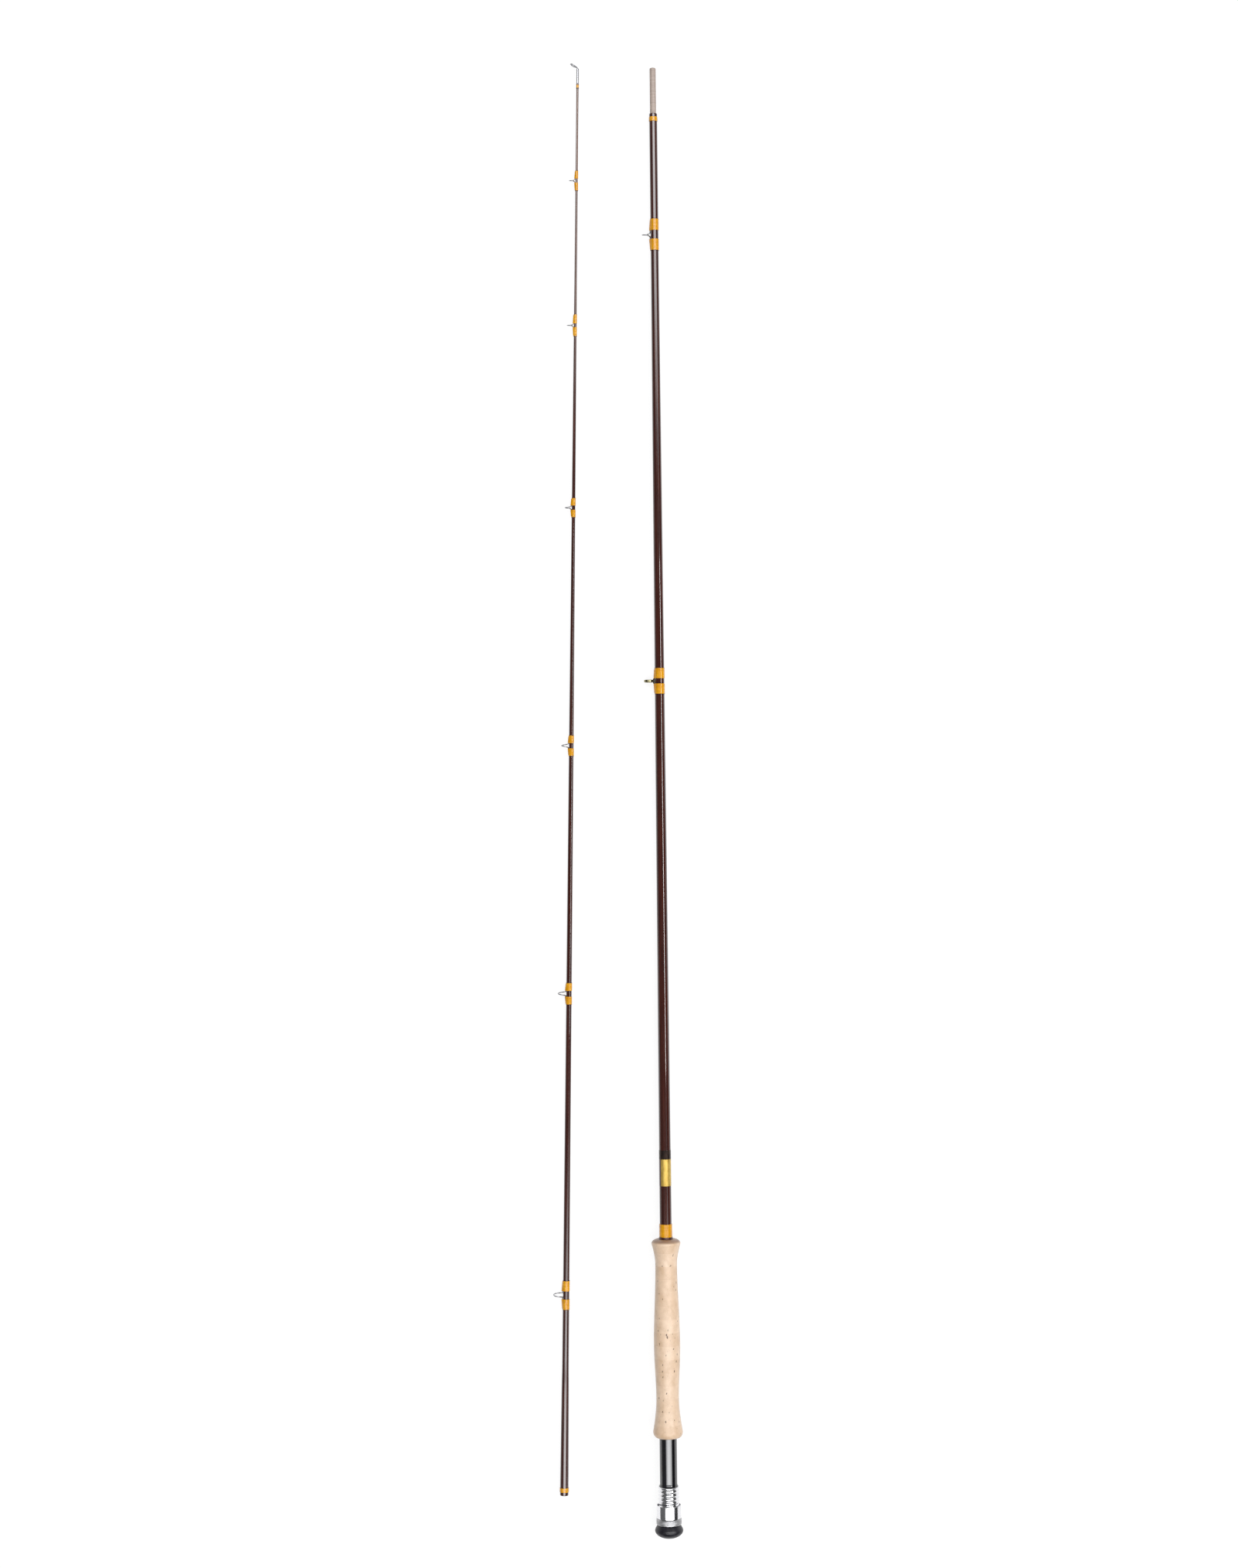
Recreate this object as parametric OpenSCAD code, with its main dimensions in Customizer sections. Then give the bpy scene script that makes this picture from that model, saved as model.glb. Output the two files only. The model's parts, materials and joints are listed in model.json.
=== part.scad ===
// Two-piece hollow glass fly rod, taken apart. The butt section carries the cork grip and the
// reel seat; the tip section lies beside it. Each section is drawn along +Y from its own lower
// end, with its line guides towards -X, and is then laid on the floor at Z = 0.

/* [Layout] */
// Distance between the two section axes at the socket's mouth
section_gap = 100; // [70:1:300]
// How far the socket's mouth lies ahead of the butt end
mouth_lead = 38.7; // [0:0.1:200]
// Angle between the two sections as they lie, in degrees
splay = 1.18; // [0:0.02:1.6]

/* [Butt blank] */
// Butt end to the shoulder that the spigot stands out of
shoulder_y = 1362; // [1000:1:1700]
// Outside diameter inside the reel seat
butt_low_d = 12.2; // [11:0.1:14]
// Outside diameter at the front of the grip
butt_grip_d = 11.5; // [10:0.1:13]
// Wall of the blank around the glued end of the spigot
shoulder_wall = 1.03; // [0.85:0.01:1.5]
// Length below the shoulder that keeps the shoulder's diameter
butt_parallel = 150; // [60:5:250]
// Wall of the hollow blank
butt_wall = 1.2; // [0.8:0.1:1.6]

/* [Ferrule] */
// Spigot diameter
spigot_d = 5.9; // [4:0.1:7]
// Spigot length standing out of the butt section
spigot_out = 44; // [30:1:60]
// Spigot length glued inside the butt blank
spigot_in = 40; // [25:1:60]
// Depth of the socket in the tip section beyond the spigot's length
socket_spare = 4; // [2:0.5:10]
// Radial clearance of the spigot in the socket
socket_clear = 0.03; // [0.01:0.01:0.1]

/* [Tip blank] */
// Socket mouth to the end of the blank
tip_blank_len = 1366; // [1100:1:1700]
// Wall of the swollen socket at its mouth
socket_wall = 1.07; // [0.8:0.01:1.6]
// Length of the swollen socket
socket_len = 106; // [80:1:140]
// Outside diameter above the socket
tip_low_d = 6.44; // [6:0.02:7]
// Outside diameter half way up
tip_mid_d = 4.36; // [4:0.02:5]
// Outside diameter where the slim end starts
slim_d = 2.4; // [2.2:0.1:3]
// Length of the slim end
slim_len = 200; // [120:5:300]
// Outside diameter at the tip
tip_d = 2.14; // [2.1:0.02:2.2]
// Wall of the hollow blank
tip_wall = 0.95; // [0.8:0.05:1]

/* [Line guides] */
// Height of the stripping guide's ring above the blank
strip_stand = 1.2; // [0.8:0.1:4]
// Outside diameter of the stripping guide's ring
strip_d = 9; // [8.6:0.1:14]
// Distance of the stripping guide below the shoulder
strip_drop = 544; // [300:1:700]
// Distance of the butt section's snake guide below the shoulder
butt_snake_drop = 116.2; // [80:0.1:250]
// Thickness of the thread windings
wrap_t = 0.35; // [0.2:0.05:0.5]

/* [Tip top] */
// Length of the tube over the end of the blank
top_tube_len = 14.5; // [10:0.5:20]
// Wall of the tube
top_tube_wall = 0.2; // [0.15:0.05:0.3]
// Wire diameter of the loop
top_wire_d = 0.95; // [0.7:0.05:1.1]
// Outside diameter of the loop
top_loop_d = 6.4; // [6:0.1:8]
// Lean of the loop towards the guides' side, in degrees
top_lean = 62; // [40:1:75]

/* [Grip] */
// Length of the cork grip
grip_len = 189; // [150:1:230]
// Diameter at the front rim
rim_d = 27.8; // [26:0.1:32]
// Height of the domed front face
face_h = 4.3; // [3:0.1:6]
// Diameter at the front neck
neck_d = 20.8; // [18:0.1:23]
// Front end of the grip to its front neck
neck_y = 24.5; // [15:0.5:30]
// Diameter at the swell
swell_d = 25.1; // [23:0.1:28]
// Front end of the grip to its swell
swell_y = 101; // [70:1:110]
// Diameter at the rear neck
waist_d = 21.6; // [19:0.1:24]
// Rear end of the grip to its rear neck
waist_y = 37; // [25:1:50]
// Cork left outside the seat barrel at the rear flare
flare_wall = 5.8; // [4.5:0.1:8]
// Length of the rounded rear end
round_len = 5.4; // [4:0.2:8]

/* [Reel seat] */
// Thickness of the bushes between the blank and the seat barrel
arbor_t = 1.31; // [0.6:0.01:3]
// Wall of the seat barrel
barrel_wall = 0.95; // [0.6:0.05:1.4]
// Free length of the barrel that a reel foot lies on
seat_len = 44.6; // [35:0.1:70]
// Length of the threaded sleeve
thread_len = 36.3; // [32:0.1:50]
// Thickness of the threaded sleeve at its crests
sleeve_t = 1.48; // [1:0.02:2]
// Distance from one thread crest to the next
pitch = 3.6; // [2:0.1:4]
// Depth of the thread
thread_depth = 0.65; // [0.3:0.05:0.8]
// Running clearance of the hood and the ring on the thread, radial
thread_clear = 0.08; // [0.02:0.01:0.1]
// Length of the sliding hood
hood_len = 12.3; // [10:0.1:18]
// Wall of the sliding hood
hood_wall = 0.7; // [0.5:0.05:1]
// Thickness of the lock ring outside the thread
ring_t = 2.02; // [1.4:0.02:4]
// Length of the lock ring
ring_len = 5.9; // [4:0.1:9]
// Largest height of a reel foot's end under either hood
foot_room = 2.6; // [2:0.1:3]
// Depth of the recess in the rear of the grip
recess_len = 11.2; // [8:0.1:11.6]

/* [Butt cap] */
// How far the rubber cap stands out around the barrel
cap_proud = 5.1; // [3:0.1:7]
// Height of the cap
cap_len = 13; // [10:0.1:18]
// Height of its dome
dome_len = 7.7; // [5:0.1:9]

/* [Hidden] */
$fn = 64;

glue_gap = 0.02;      // radial room for glue or varnish between fixed round pieces
body_gap = 0.3;       // room between pieces on different bodies
cut = 1;              // overrun of a cutting solid

// Snake guides of the tip section, tip first: share of the blank's length below its end,
// height over the blank, wire diameter, winding length, gap between the two windings.
snakes = [
  [0.0775, 6.2, 0.8, 8.0, 3.8],
  [0.179, 6.8, 0.8, 9.0, 3.6],
  [0.307, 6.9, 0.9, 7.5, 4.1],
  [0.474, 7.5, 0.9, 7.6, 5.1],
  [0.648, 8.2, 1.0, 7.8, 5.6],
  [0.8595, 9.3, 1.0, 10.2, 7.8]
];
butt_snake = [0, 8.3, 1.0, 11.2, 8.4];
strip_wrap = 10.2;    // length of each stripping guide winding
strip_part = 5;       // gap between the two

// Diameters that follow the pieces inside them.
tuck_step = 0.2;      // how much the glued end of the spigot and of the barrel is turned down
butt_high_d = spigot_d + 2 * (glue_gap - tuck_step + shoulder_wall);
socket_r = spigot_d / 2 + socket_clear + socket_wall;
barrel_bore = butt_low_d / 2 + arbor_t + 2 * glue_gap;
barrel_r = barrel_bore + barrel_wall;
crest_r = barrel_r + glue_gap + sleeve_t;
run_r = crest_r + thread_clear;
hood_r = barrel_r + foot_room + hood_wall;
ring_r = run_r + ring_t;
cap_r = barrel_r + cap_proud;
flare_r = barrel_r + flare_wall;
rim_r = rim_d / 2;

// Places along the butt section, from the butt end.
cork_rings = 15;
thread_top = cap_len + thread_len;
collar_len = 2.2;     // flared collar where the barrel meets the threaded sleeve
grip_low = thread_top + collar_len + seat_len;
grip_high = grip_low + grip_len;
check_len = 1.9;
grip_wrap = 12.3;
wrap_low = grip_high + check_len;
plug_len = 8;         // plug of the cap inside the barrel
blank_low = cap_len + plug_len + 3;
label_gap = 36.5;
label_low = wrap_low + grip_wrap + label_gap;
label_len = 34;
label_t = 0.12;
spigot_end = shoulder_y + spigot_out;
ferrule_wrap = 4.1;   // winding at each side of the joint
ferrule_lip = 3.2;    // bare blank beyond it
strip_y = shoulder_y - strip_drop;
butt_snake_y = shoulder_y - butt_snake_drop;
cork_len = grip_len / cork_rings;
cork_face = butt_grip_d / 2 + 1.25;  // bore side of the front face
round_low_r = barrel_r + 2.1;        // bore side of the rounded rear end
tuck_len = cork_len - 0.2;           // length of the barrel inside the cork
collar_r = barrel_r + 0.9;
arbor_len = 10;
arbor_low = blank_low + 4;
arbor_high = grip_low - 4;
arbor_places = [arbor_low, (arbor_low + arbor_high) / 2, arbor_high];
ring_y = cap_len + body_gap;
hood_y = ring_y + ring_len + body_gap;
hood_floor = 1.6;
recess_half = 40;     // half the recess's angle about the axis
liner_t = 0.5;
liner_inset = 0.6;
top_wrap = 4.6;       // length of the winding below the tube
top_rise = 1.7;       // the tip-top tube runs on past the end of the blank
top_stem = 2.2;       // stem between the tube and the loop

// Heights of the sections' axes: the butt section lies on the ferrule winding and on the rim or
// the flare of the grip, the tip section on its tallest snake guide or its socket winding.
ferrule_r = butt_high_d / 2 + glue_gap + wrap_t;
rest_y = shoulder_y - ferrule_lip;
rim_slope = (rim_r - ferrule_r) / (rest_y - grip_high + face_h);
flare_slope = (flare_r - ferrule_r) / (rest_y - grip_low - round_len);
lie = atan(max(rim_slope, flare_slope));
butt_z = ferrule_r * cos(lie) + rest_y * sin(lie);
tip_z = max(socket_r + glue_gap + wrap_t, max([for (g = snakes) g[1]]) / 2);

// The floor area is centred on the origin.
tip_end = tip_blank_len + top_rise + top_loop_d * cos(top_lean) + top_stem;
high_y = max(mouth_lead + tip_end * cos(splay), spigot_end);
snake6_y = tip_blank_len * (1 - snakes[5][0]);
left_x = snake6_y * sin(splay) - section_gap - snakes[5][1] - tip_low_d / 2;
mid_x = (left_x + max(flare_r, rim_r)) / 2;
mid_y = high_y / 2;

// Outer radius of each blank at a distance from the section's lower end.
butt_taper = [
  [0, butt_low_d / 2],
  [grip_high, butt_grip_d / 2],
  [shoulder_y - butt_parallel, butt_high_d / 2],
  [shoulder_y, butt_high_d / 2]
];
tip_taper = [
  [0, socket_r],
  [20, socket_r - 0.04],
  [socket_len, tip_low_d / 2 + 0.25],
  [socket_len + 16, tip_low_d / 2],
  [(socket_len + tip_blank_len) / 2, tip_mid_d / 2],
  [tip_blank_len - slim_len, slim_d / 2],
  [tip_blank_len, tip_d / 2]
];
function butt_r(y) = lookup(y, butt_taper);
function tip_r(y) = lookup(y, tip_taper);

// ---- placing ----
module on_butt() {
  translate([-mid_x, -mid_y, butt_z]) rotate([-lie, 0, 0]) children();
}
module on_tip() {
  translate([-mid_x - section_gap, mouth_lead - mid_y, tip_z]) rotate([0, 0, -splay]) children();
}
// Turns an outline of [radius, distance along the section] about the section's axis.
module turned(outline) {
  rotate([-90, 0, 0]) rotate_extrude() polygon(outline);
}
module sector(outline, half) {
  rotate([-90, 0, 0]) rotate([0, 0, 180 - half]) rotate_extrude(angle = 2 * half) polygon(outline);
}
function tube(r_in, r_out, y0, y1) = [[r_in, y0], [r_out, y0], [r_out, y1], [r_in, y1]];
module butt_sleeve(y0, y1, t) {
  turned([
    [butt_r(y0) + glue_gap, y0], [butt_r(y0) + glue_gap + t, y0],
    [butt_r(y1) + glue_gap + t, y1], [butt_r(y1) + glue_gap, y1]
  ]);
}
module tip_sleeve(y0, y1, t) {
  turned([
    [tip_r(y0) + glue_gap, y0], [tip_r(y0) + glue_gap + t, y0],
    [tip_r(y1) + glue_gap + t, y1], [tip_r(y1) + glue_gap, y1]
  ]);
}

// ---- blanks and ferrule ----
module butt_blank() {
  bore_low = spigot_d / 2 - tuck_step + glue_gap;
  glue_y = shoulder_y - spigot_in - 1;
  color([0.2, 0.08, 0.07]) on_butt() turned([
    [butt_r(blank_low) - butt_wall, blank_low],
    [butt_r(blank_low), blank_low],
    for (s = butt_taper) if (s[0] > blank_low) [s[1], s[0]],
    [bore_low, shoulder_y],
    [bore_low, glue_y],
    [min(bore_low, butt_high_d / 2 - butt_wall), glue_y - 20],
    [butt_grip_d / 2 - butt_wall, grip_high]
  ]);
}
module spigot() {
  r = spigot_d / 2;
  nose = 1;
  color([0.68, 0.64, 0.58]) on_butt() turned([
    [0, shoulder_y - spigot_in],
    [r - tuck_step, shoulder_y - spigot_in],
    [r - tuck_step, shoulder_y + glue_gap],
    [r, shoulder_y + glue_gap],
    [r, spigot_end - nose],
    for (a = [15:15:75]) [r - nose + nose * cos(a), spigot_end - nose + nose * sin(a)],
    [r - nose, spigot_end],
    [0, spigot_end]
  ]);
}
module ferrule_winding() {
  top = shoulder_y - ferrule_lip;
  color([0.86, 0.62, 0.1]) on_butt() butt_sleeve(top - ferrule_wrap, top, wrap_t);
}
module tip_blank() {
  bore = spigot_d / 2 + socket_clear;
  deep = spigot_out + socket_spare;
  stub = top_tube_len - top_rise + body_gap / 2;
  stub_r = tip_d / 2 - top_tube_wall;
  slim_y = tip_blank_len - slim_len;
  mid_bore_y = (socket_len + tip_blank_len) / 2;
  color([0.2, 0.08, 0.07]) on_tip() turned([
    [bore, 0],
    for (s = tip_taper) if (s[0] < tip_blank_len) [s[1], s[0]],
    [tip_r(tip_blank_len - stub), tip_blank_len - stub],
    [stub_r, tip_blank_len - stub],
    [stub_r, tip_blank_len],
    [0, tip_blank_len],
    [0, slim_y],
    [tip_mid_d / 2 - tip_wall, mid_bore_y],
    [tip_low_d / 2 - tip_wall, socket_len + 16],
    [bore - 0.2, deep + 6],
    [bore - 0.2, deep],
    [bore, deep]
  ]);
}
module socket_winding() {
  color([0.86, 0.62, 0.1]) on_tip() tip_sleeve(ferrule_lip, ferrule_lip + ferrule_wrap, wrap_t);
}

// ---- snake guides: one turn of wire between two flattened feet ----
foot_short = 1.2;     // how far each winding runs past the end of the foot
foot_thin = 0.3;      // thickness at the end of a foot
foot_wide = 1.25;     // width of a foot's end over the wire's diameter
channel_room = 0.05;  // room around a foot inside its winding
loop_steps = 20;
corner_steps = 3;
foot_steps = 3;
wire_sides = 8;

function spread(g) = min(1.8, g[4] / 2 - g[2] * 0.7);
function foot_len(g) = g[4] / 2 + g[3] - foot_short - spread(g) - g[2];
function loop_r(g) = (g[1] - g[2]) / 2;
// The outward lift of the loop at a sideways offset z near its foot.
function lift(g, z) = loop_r(g) - sqrt(loop_r(g) * loop_r(g) - z * z);
// Half of the path, foot first, as [outward, along, sideways, half thickness, half width].
function half_path(g) =
  let (w = g[2] / 2, a = spread(g), c = g[2], rise = asin(c / loop_r(g)))
  concat(
    [for (i = [0:foot_steps - 1])
      let (u = i / foot_steps, h = foot_thin / 2 + (w - foot_thin / 2) * u)
      [h - w, -a - c - foot_len(g) * (1 - u), 0, h, w * (foot_wide + (1 - foot_wide) * u)]],
    [for (i = [0:corner_steps])
      let (f = 90 * i / corner_steps, z = c * (1 - cos(f)))
      [lift(g, z), -a - c + c * sin(f), z, w, w]],
    [for (i = [1:loop_steps / 2])
      let (u = i / loop_steps, q = rise + u * (360 - 2 * rise))
      [loop_r(g) * (1 - cos(q)), -a + 2 * a * u, loop_r(g) * sin(q), w, w]]
  );
function full_path(g) =
  let (half = half_path(g), n = len(half))
  concat(half, [for (i = [n - 2:-1:0]) [half[i][0], -half[i][1], -half[i][2], half[i][3], half[i][4]]]);
function unit(v) = v / norm(v);
function place(p) = [p[0], p[1], p[2]];
// One ring of the wire's skin about path point i.
function wire_ring(path, i, centre) =
  let (n = len(path), p = place(path[i]),
       t = unit(place(path[min(i + 1, n - 1)]) - place(path[max(i - 1, 0)])),
       inward = unit([centre - p[0], 0, -p[2]]),
       b = unit(cross(t, inward)), v = cross(b, t))
  [for (k = [0:wire_sides - 1])
    let (f = 360 * k / wire_sides)
    p + path[i][3] * cos(f) * v + path[i][4] * sin(f) * b];
module wire(path, centre) {
  n = len(path);
  s = wire_sides;
  points = [for (i = [0:n - 1]) each wire_ring(path, i, centre)];
  faces = concat(
    [[for (k = [0:s - 1]) k]],
    [for (i = [0:n - 2], k = [0:s - 1])
      [i * s + k, (i + 1) * s + k, (i + 1) * s + (k + 1) % s, i * s + (k + 1) % s]],
    [[for (k = [s - 1:-1:0]) (n - 1) * s + k]]
  );
  polyhedron(points, faces, convexity = 6);
}
// r is the blank's radius at the guide. The wire is drawn outwards along +X and turned to -X.
module snake_guide(g, r) {
  color([0.75, 0.75, 0.77]) mirror([1, 0, 0])
    translate([r + glue_gap + g[2] / 2, 0, 0]) wire(full_path(g), loop_r(g));
}
// A bar with a sloping top, from the axis out to the top of a foot.
module foot_bar(r, y0, y1, high0, high1, wide) {
  translate([0, 0, -wide / 2]) linear_extrude(wide)
    polygon([[-r / 2, y0], [-r - high0, y0], [-r - high1, y1], [-r / 2, y1]]);
}
// One winding from y0 (the guide's side) to y1, over a foot that ends at foot_y.
module winding(r0, r1, y0, y1, foot_y, high0, high1, wide) {
  room = channel_room;
  way = sign(y1 - y0);
  difference() {
    union() {
      turned([[0, y0], [r0 + glue_gap + wrap_t, y0], [r1 + glue_gap + wrap_t, y1], [0, y1]]);
      foot_bar(r0, y0, foot_y + way * wrap_t, high0 + wrap_t + room, high1 + wrap_t + room,
               wide + 2 * (wrap_t + room));
    }
    turned([
      [0, y0 - way * cut], [r0 + glue_gap, y0 - way * cut], [r0 + glue_gap, y0],
      [r1 + glue_gap, y1], [r1 + glue_gap, y1 + way * cut], [0, y1 + way * cut]
    ]);
    foot_bar(r0 + glue_gap, y0 - way * cut, foot_y + way * room, high0 + room, high1 + room,
             wide + 2 * room);
  }
}
// seat_r is the radius at which the feet lie, r_low and r_high the blank's radii at the windings.
module snake_windings(g, seat_r, r_low, r_high) {
  foot_y = g[4] / 2 + g[3] - foot_short;
  end_t = foot_thin + 0.1;
  wide = g[2] * foot_wide;
  color([0.86, 0.62, 0.1]) {
    winding(r_high[0], r_high[1], g[4] / 2, g[4] / 2 + g[3], foot_y,
            g[2] + seat_r - r_high[0], end_t + seat_r - r_high[1], wide);
    winding(r_low[0], r_low[1], -g[4] / 2, -g[4] / 2 - g[3], -foot_y,
            g[2] + seat_r - r_low[0], end_t + seat_r - r_low[1], wide);
  }
}
function tip_seat(g) = let (y = tip_blank_len * (1 - g[0])) max(tip_r(y - g[4] / 2 - g[3]), tip_r(y));
butt_seat = butt_r(butt_snake_y - butt_snake[4] / 2 - butt_snake[3]);
module tip_snake(i) {
  g = snakes[i - 1];
  y = tip_blank_len * (1 - g[0]);
  on_tip() translate([0, y, 0]) snake_guide(g, tip_seat(g));
}
module tip_windings(i) {
  g = snakes[i - 1];
  y = tip_blank_len * (1 - g[0]);
  near = g[4] / 2;
  far = near + g[3];
  on_tip() translate([0, y, 0]) snake_windings(
    g, tip_seat(g), [tip_r(y - near), tip_r(y - far)], [tip_r(y + near), tip_r(y + far)]);
}
module butt_snake_guide() {
  on_butt() translate([0, butt_snake_y, 0]) snake_guide(butt_snake, butt_seat);
}
module butt_snake_windings() {
  y = butt_snake_y;
  near = butt_snake[4] / 2;
  far = near + butt_snake[3];
  on_butt() translate([0, y, 0]) snake_windings(
    butt_snake, butt_seat, [butt_r(y - near), butt_r(y - far)], [butt_r(y + near), butt_r(y + far)]);
}

// ---- stripping guide ----
strip_band = 0.75;    // radial thickness of the frame's band
strip_band_w = 2.2;
strip_insert = 0.6;   // radial thickness of the hard ring inside it
strip_insert_w = 2.7;
strip_base = 4.8;     // length of the base along the blank
strip_base_w = 3.2;
strip_foot = 0.9;     // thickness of a foot at the base
strip_foot_w = 2;
strip_foot_end = strip_part / 2 + strip_wrap - 1.7;
strip_r = butt_r(strip_y - strip_foot_end);
strip_x = strip_r + glue_gap + strip_stand + strip_d / 2;
module stripping_frame() {
  bore = strip_d / 2 - strip_band;
  seat = strip_r + glue_gap;
  color([0.16, 0.15, 0.12]) on_butt() translate([0, strip_y, 0]) difference() {
    union() {
      translate([-strip_x, 0, 0]) turned(tube(0, strip_d / 2, -strip_band_w / 2, strip_band_w / 2));
      translate([-seat - strip_stand - strip_band, -strip_base / 2, -strip_base_w / 2])
        cube([strip_stand + strip_band, strip_base, strip_base_w]);
      for (way = [-1, 1]) translate([0, 0, -strip_foot_w / 2]) linear_extrude(strip_foot_w)
        polygon([
          [-seat, 0], [-seat - strip_foot, 0],
          [-seat - strip_foot, way * strip_base / 2],
          [-seat - foot_thin, way * strip_foot_end], [-seat, way * strip_foot_end]
        ]);
    }
    translate([-strip_x, 0, 0]) turned(tube(0, bore, -strip_base, strip_base));
  }
}
module stripping_ring() {
  out = strip_d / 2 - strip_band - glue_gap;
  hole = out - strip_insert;
  h = strip_insert_w / 2;
  soft = 0.25;
  color([0.62, 0.58, 0.42]) on_butt() translate([-strip_x, strip_y, 0]) turned([
    [hole, -h + 2 * soft], [hole + soft / 2, -h + soft / 2], [hole + soft, -h], [out, -h],
    [out, h], [hole + soft, h], [hole + soft / 2, h - soft / 2], [hole, h - 2 * soft]
  ]);
}
module stripping_windings() {
  near = strip_part / 2;
  far = near + strip_wrap;
  color([0.86, 0.62, 0.1]) on_butt() translate([0, strip_y, 0]) for (way = [-1, 1])
    winding(butt_r(strip_y + way * near), butt_r(strip_y + way * far), way * near, way * far,
            way * strip_foot_end, strip_foot + strip_r - butt_r(strip_y + way * near),
            foot_thin + strip_r - butt_r(strip_y + way * far) + 0.1, strip_foot_w);
}

// ---- tip top ----
module tip_top_tube() {
  low = tip_blank_len - top_tube_len + top_rise;
  bore = tip_d / 2 - top_tube_wall + glue_gap;
  out = bore + top_tube_wall;
  high = low + top_tube_len;
  color([0.78, 0.78, 0.8]) on_tip() turned([
    [bore, low], [out, low], [out, high], [0, high], [0, tip_blank_len + glue_gap],
    [bore, tip_blank_len + glue_gap]
  ]);
}
module tip_top_loop() {
  high = tip_blank_len + top_rise;
  ring = (top_loop_d - top_wire_d) / 2;
  stem_d = top_wire_d * 1.3;
  color([0.78, 0.78, 0.8]) on_tip() translate([0, high + stem_d / 2, 0]) rotate([0, 0, top_lean]) {
    translate([0, ring + top_stem, 0]) rotate([0, 90, 0]) rotate_extrude() translate([ring, 0])
      circle(d = top_wire_d);
    rotate([-90, 0, 0]) cylinder(d = stem_d, h = top_stem);
    sphere(d = stem_d);
  }
}
module tip_top_winding() {
  top = tip_blank_len - top_tube_len + top_rise - body_gap;
  color([0.86, 0.62, 0.1]) on_tip() tip_sleeve(top - top_wrap, top, wrap_t / 2);
}

// ---- grip ----
// Radius of the cork at a distance from the rear end of the grip.
function quarter(a, b, u) = b + (a - b) * (1 - sin(90 * u));
function eased(a, b, u) = a + (b - a) * (1 - cos(180 * u)) / 2;
function cork_r(y) =
  let (rim_y = grip_len - face_h, neck = grip_len - neck_y, swell = grip_len - swell_y)
  y < round_len
    ? round_low_r + (flare_r - round_low_r) * sqrt(max(0, 1 - pow((round_len - y) / round_len, 2)))
  : y < waist_y ? quarter(flare_r, waist_d / 2, (y - round_len) / (waist_y - round_len))
  : y < swell ? eased(waist_d / 2, swell_d / 2, (y - waist_y) / (swell - waist_y))
  : y < neck ? eased(swell_d / 2, neck_d / 2, (y - swell) / (neck - swell))
  : y < rim_y ? quarter(rim_d / 2, neck_d / 2, (rim_y - y) / (rim_y - neck))
  : cork_face + (rim_d / 2 - cork_face) * sqrt(max(0, 1 - pow((y - rim_y) / face_h, 2)));
cork_steps = 8;
module recess(grow, low) {
  sector(tube(barrel_r - cut, barrel_r + foot_room + grow, low, grip_low + recess_len + grow),
         recess_half + 5 * grow);
}
module cork_ring(i) {
  y0 = (i - 1) * cork_len;
  bore = i == 1 ? [barrel_r - tuck_step, barrel_r - tuck_step]
    : [butt_r(grip_low + y0), butt_r(grip_low + y0 + cork_len)];
  steps = i == cork_rings || i == 1 ? 2 * cork_steps : cork_steps;
  color([0.9, 0.8, 0.64]) on_butt() difference() {
    turned(concat(
      [[bore[0] + glue_gap, grip_low + y0]],
      [for (k = [0:steps]) let (y = y0 + cork_len * k / steps) [cork_r(y), grip_low + y]],
      [[bore[1] + glue_gap, grip_low + y0 + cork_len]]
    ));
    if (y0 < recess_len + liner_t + glue_gap) recess(liner_t + glue_gap, grip_low - cut);
  }
}
module fixed_hood() {
  color([0.7, 0.7, 0.72]) on_butt() difference() {
    sector(tube(barrel_r + glue_gap, barrel_r + foot_room + liner_t, grip_low + liner_inset,
                grip_low + recess_len + liner_t), recess_half + 5 * liner_t);
    recess(0, grip_low - cut);
  }
}
module winding_check() {
  color([0.12, 0.04, 0.03]) on_butt() butt_sleeve(grip_high, wrap_low, 1.05);
}
module grip_winding() {
  color([0.86, 0.62, 0.1]) on_butt() butt_sleeve(wrap_low, wrap_low + grip_wrap, wrap_t * 1.6);
}
module label_band() {
  color([0.7, 0.55, 0.2]) on_butt() butt_sleeve(label_low, label_low + label_len, label_t);
}

// ---- reel seat ----
module seat_arbors() {
  color([0.72, 0.58, 0.4]) on_butt() for (y = arbor_places) turned([
    [butt_r(y) + glue_gap, y], [barrel_bore - glue_gap, y],
    [barrel_bore - glue_gap, y + arbor_len], [butt_r(y + arbor_len) + glue_gap, y + arbor_len]
  ]);
}
module seat_barrel() {
  r = barrel_r;
  color([0.04, 0.04, 0.05]) on_butt() turned([
    [barrel_bore, cap_len], [r, cap_len], [r, thread_top],
    [collar_r, thread_top], [collar_r, thread_top + 0.6], [r, thread_top + collar_len],
    [r, grip_low], [r - tuck_step, grip_low],
    [r - tuck_step, grip_low + tuck_len], [barrel_bore, grip_low + tuck_len]
  ]);
}
module thread_sleeve() {
  crest = crest_r;
  root = crest - thread_depth;
  turns = floor((thread_len - 2) / pitch);
  first = thread_top - 1 - turns * pitch;
  color([0.8, 0.8, 0.82]) on_butt() turned(concat(
    [[barrel_r + glue_gap, cap_len], [crest, cap_len]],
    [for (k = [0:turns - 1]) each [
      [crest, first + k * pitch + 0.15 * pitch], [root, first + k * pitch + 0.4 * pitch],
      [root, first + k * pitch + 0.6 * pitch], [crest, first + k * pitch + 0.85 * pitch]
    ]],
    [[crest, thread_top - 0.5], [crest - 0.5, thread_top], [barrel_r + glue_gap, thread_top]]
  ));
}
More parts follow.
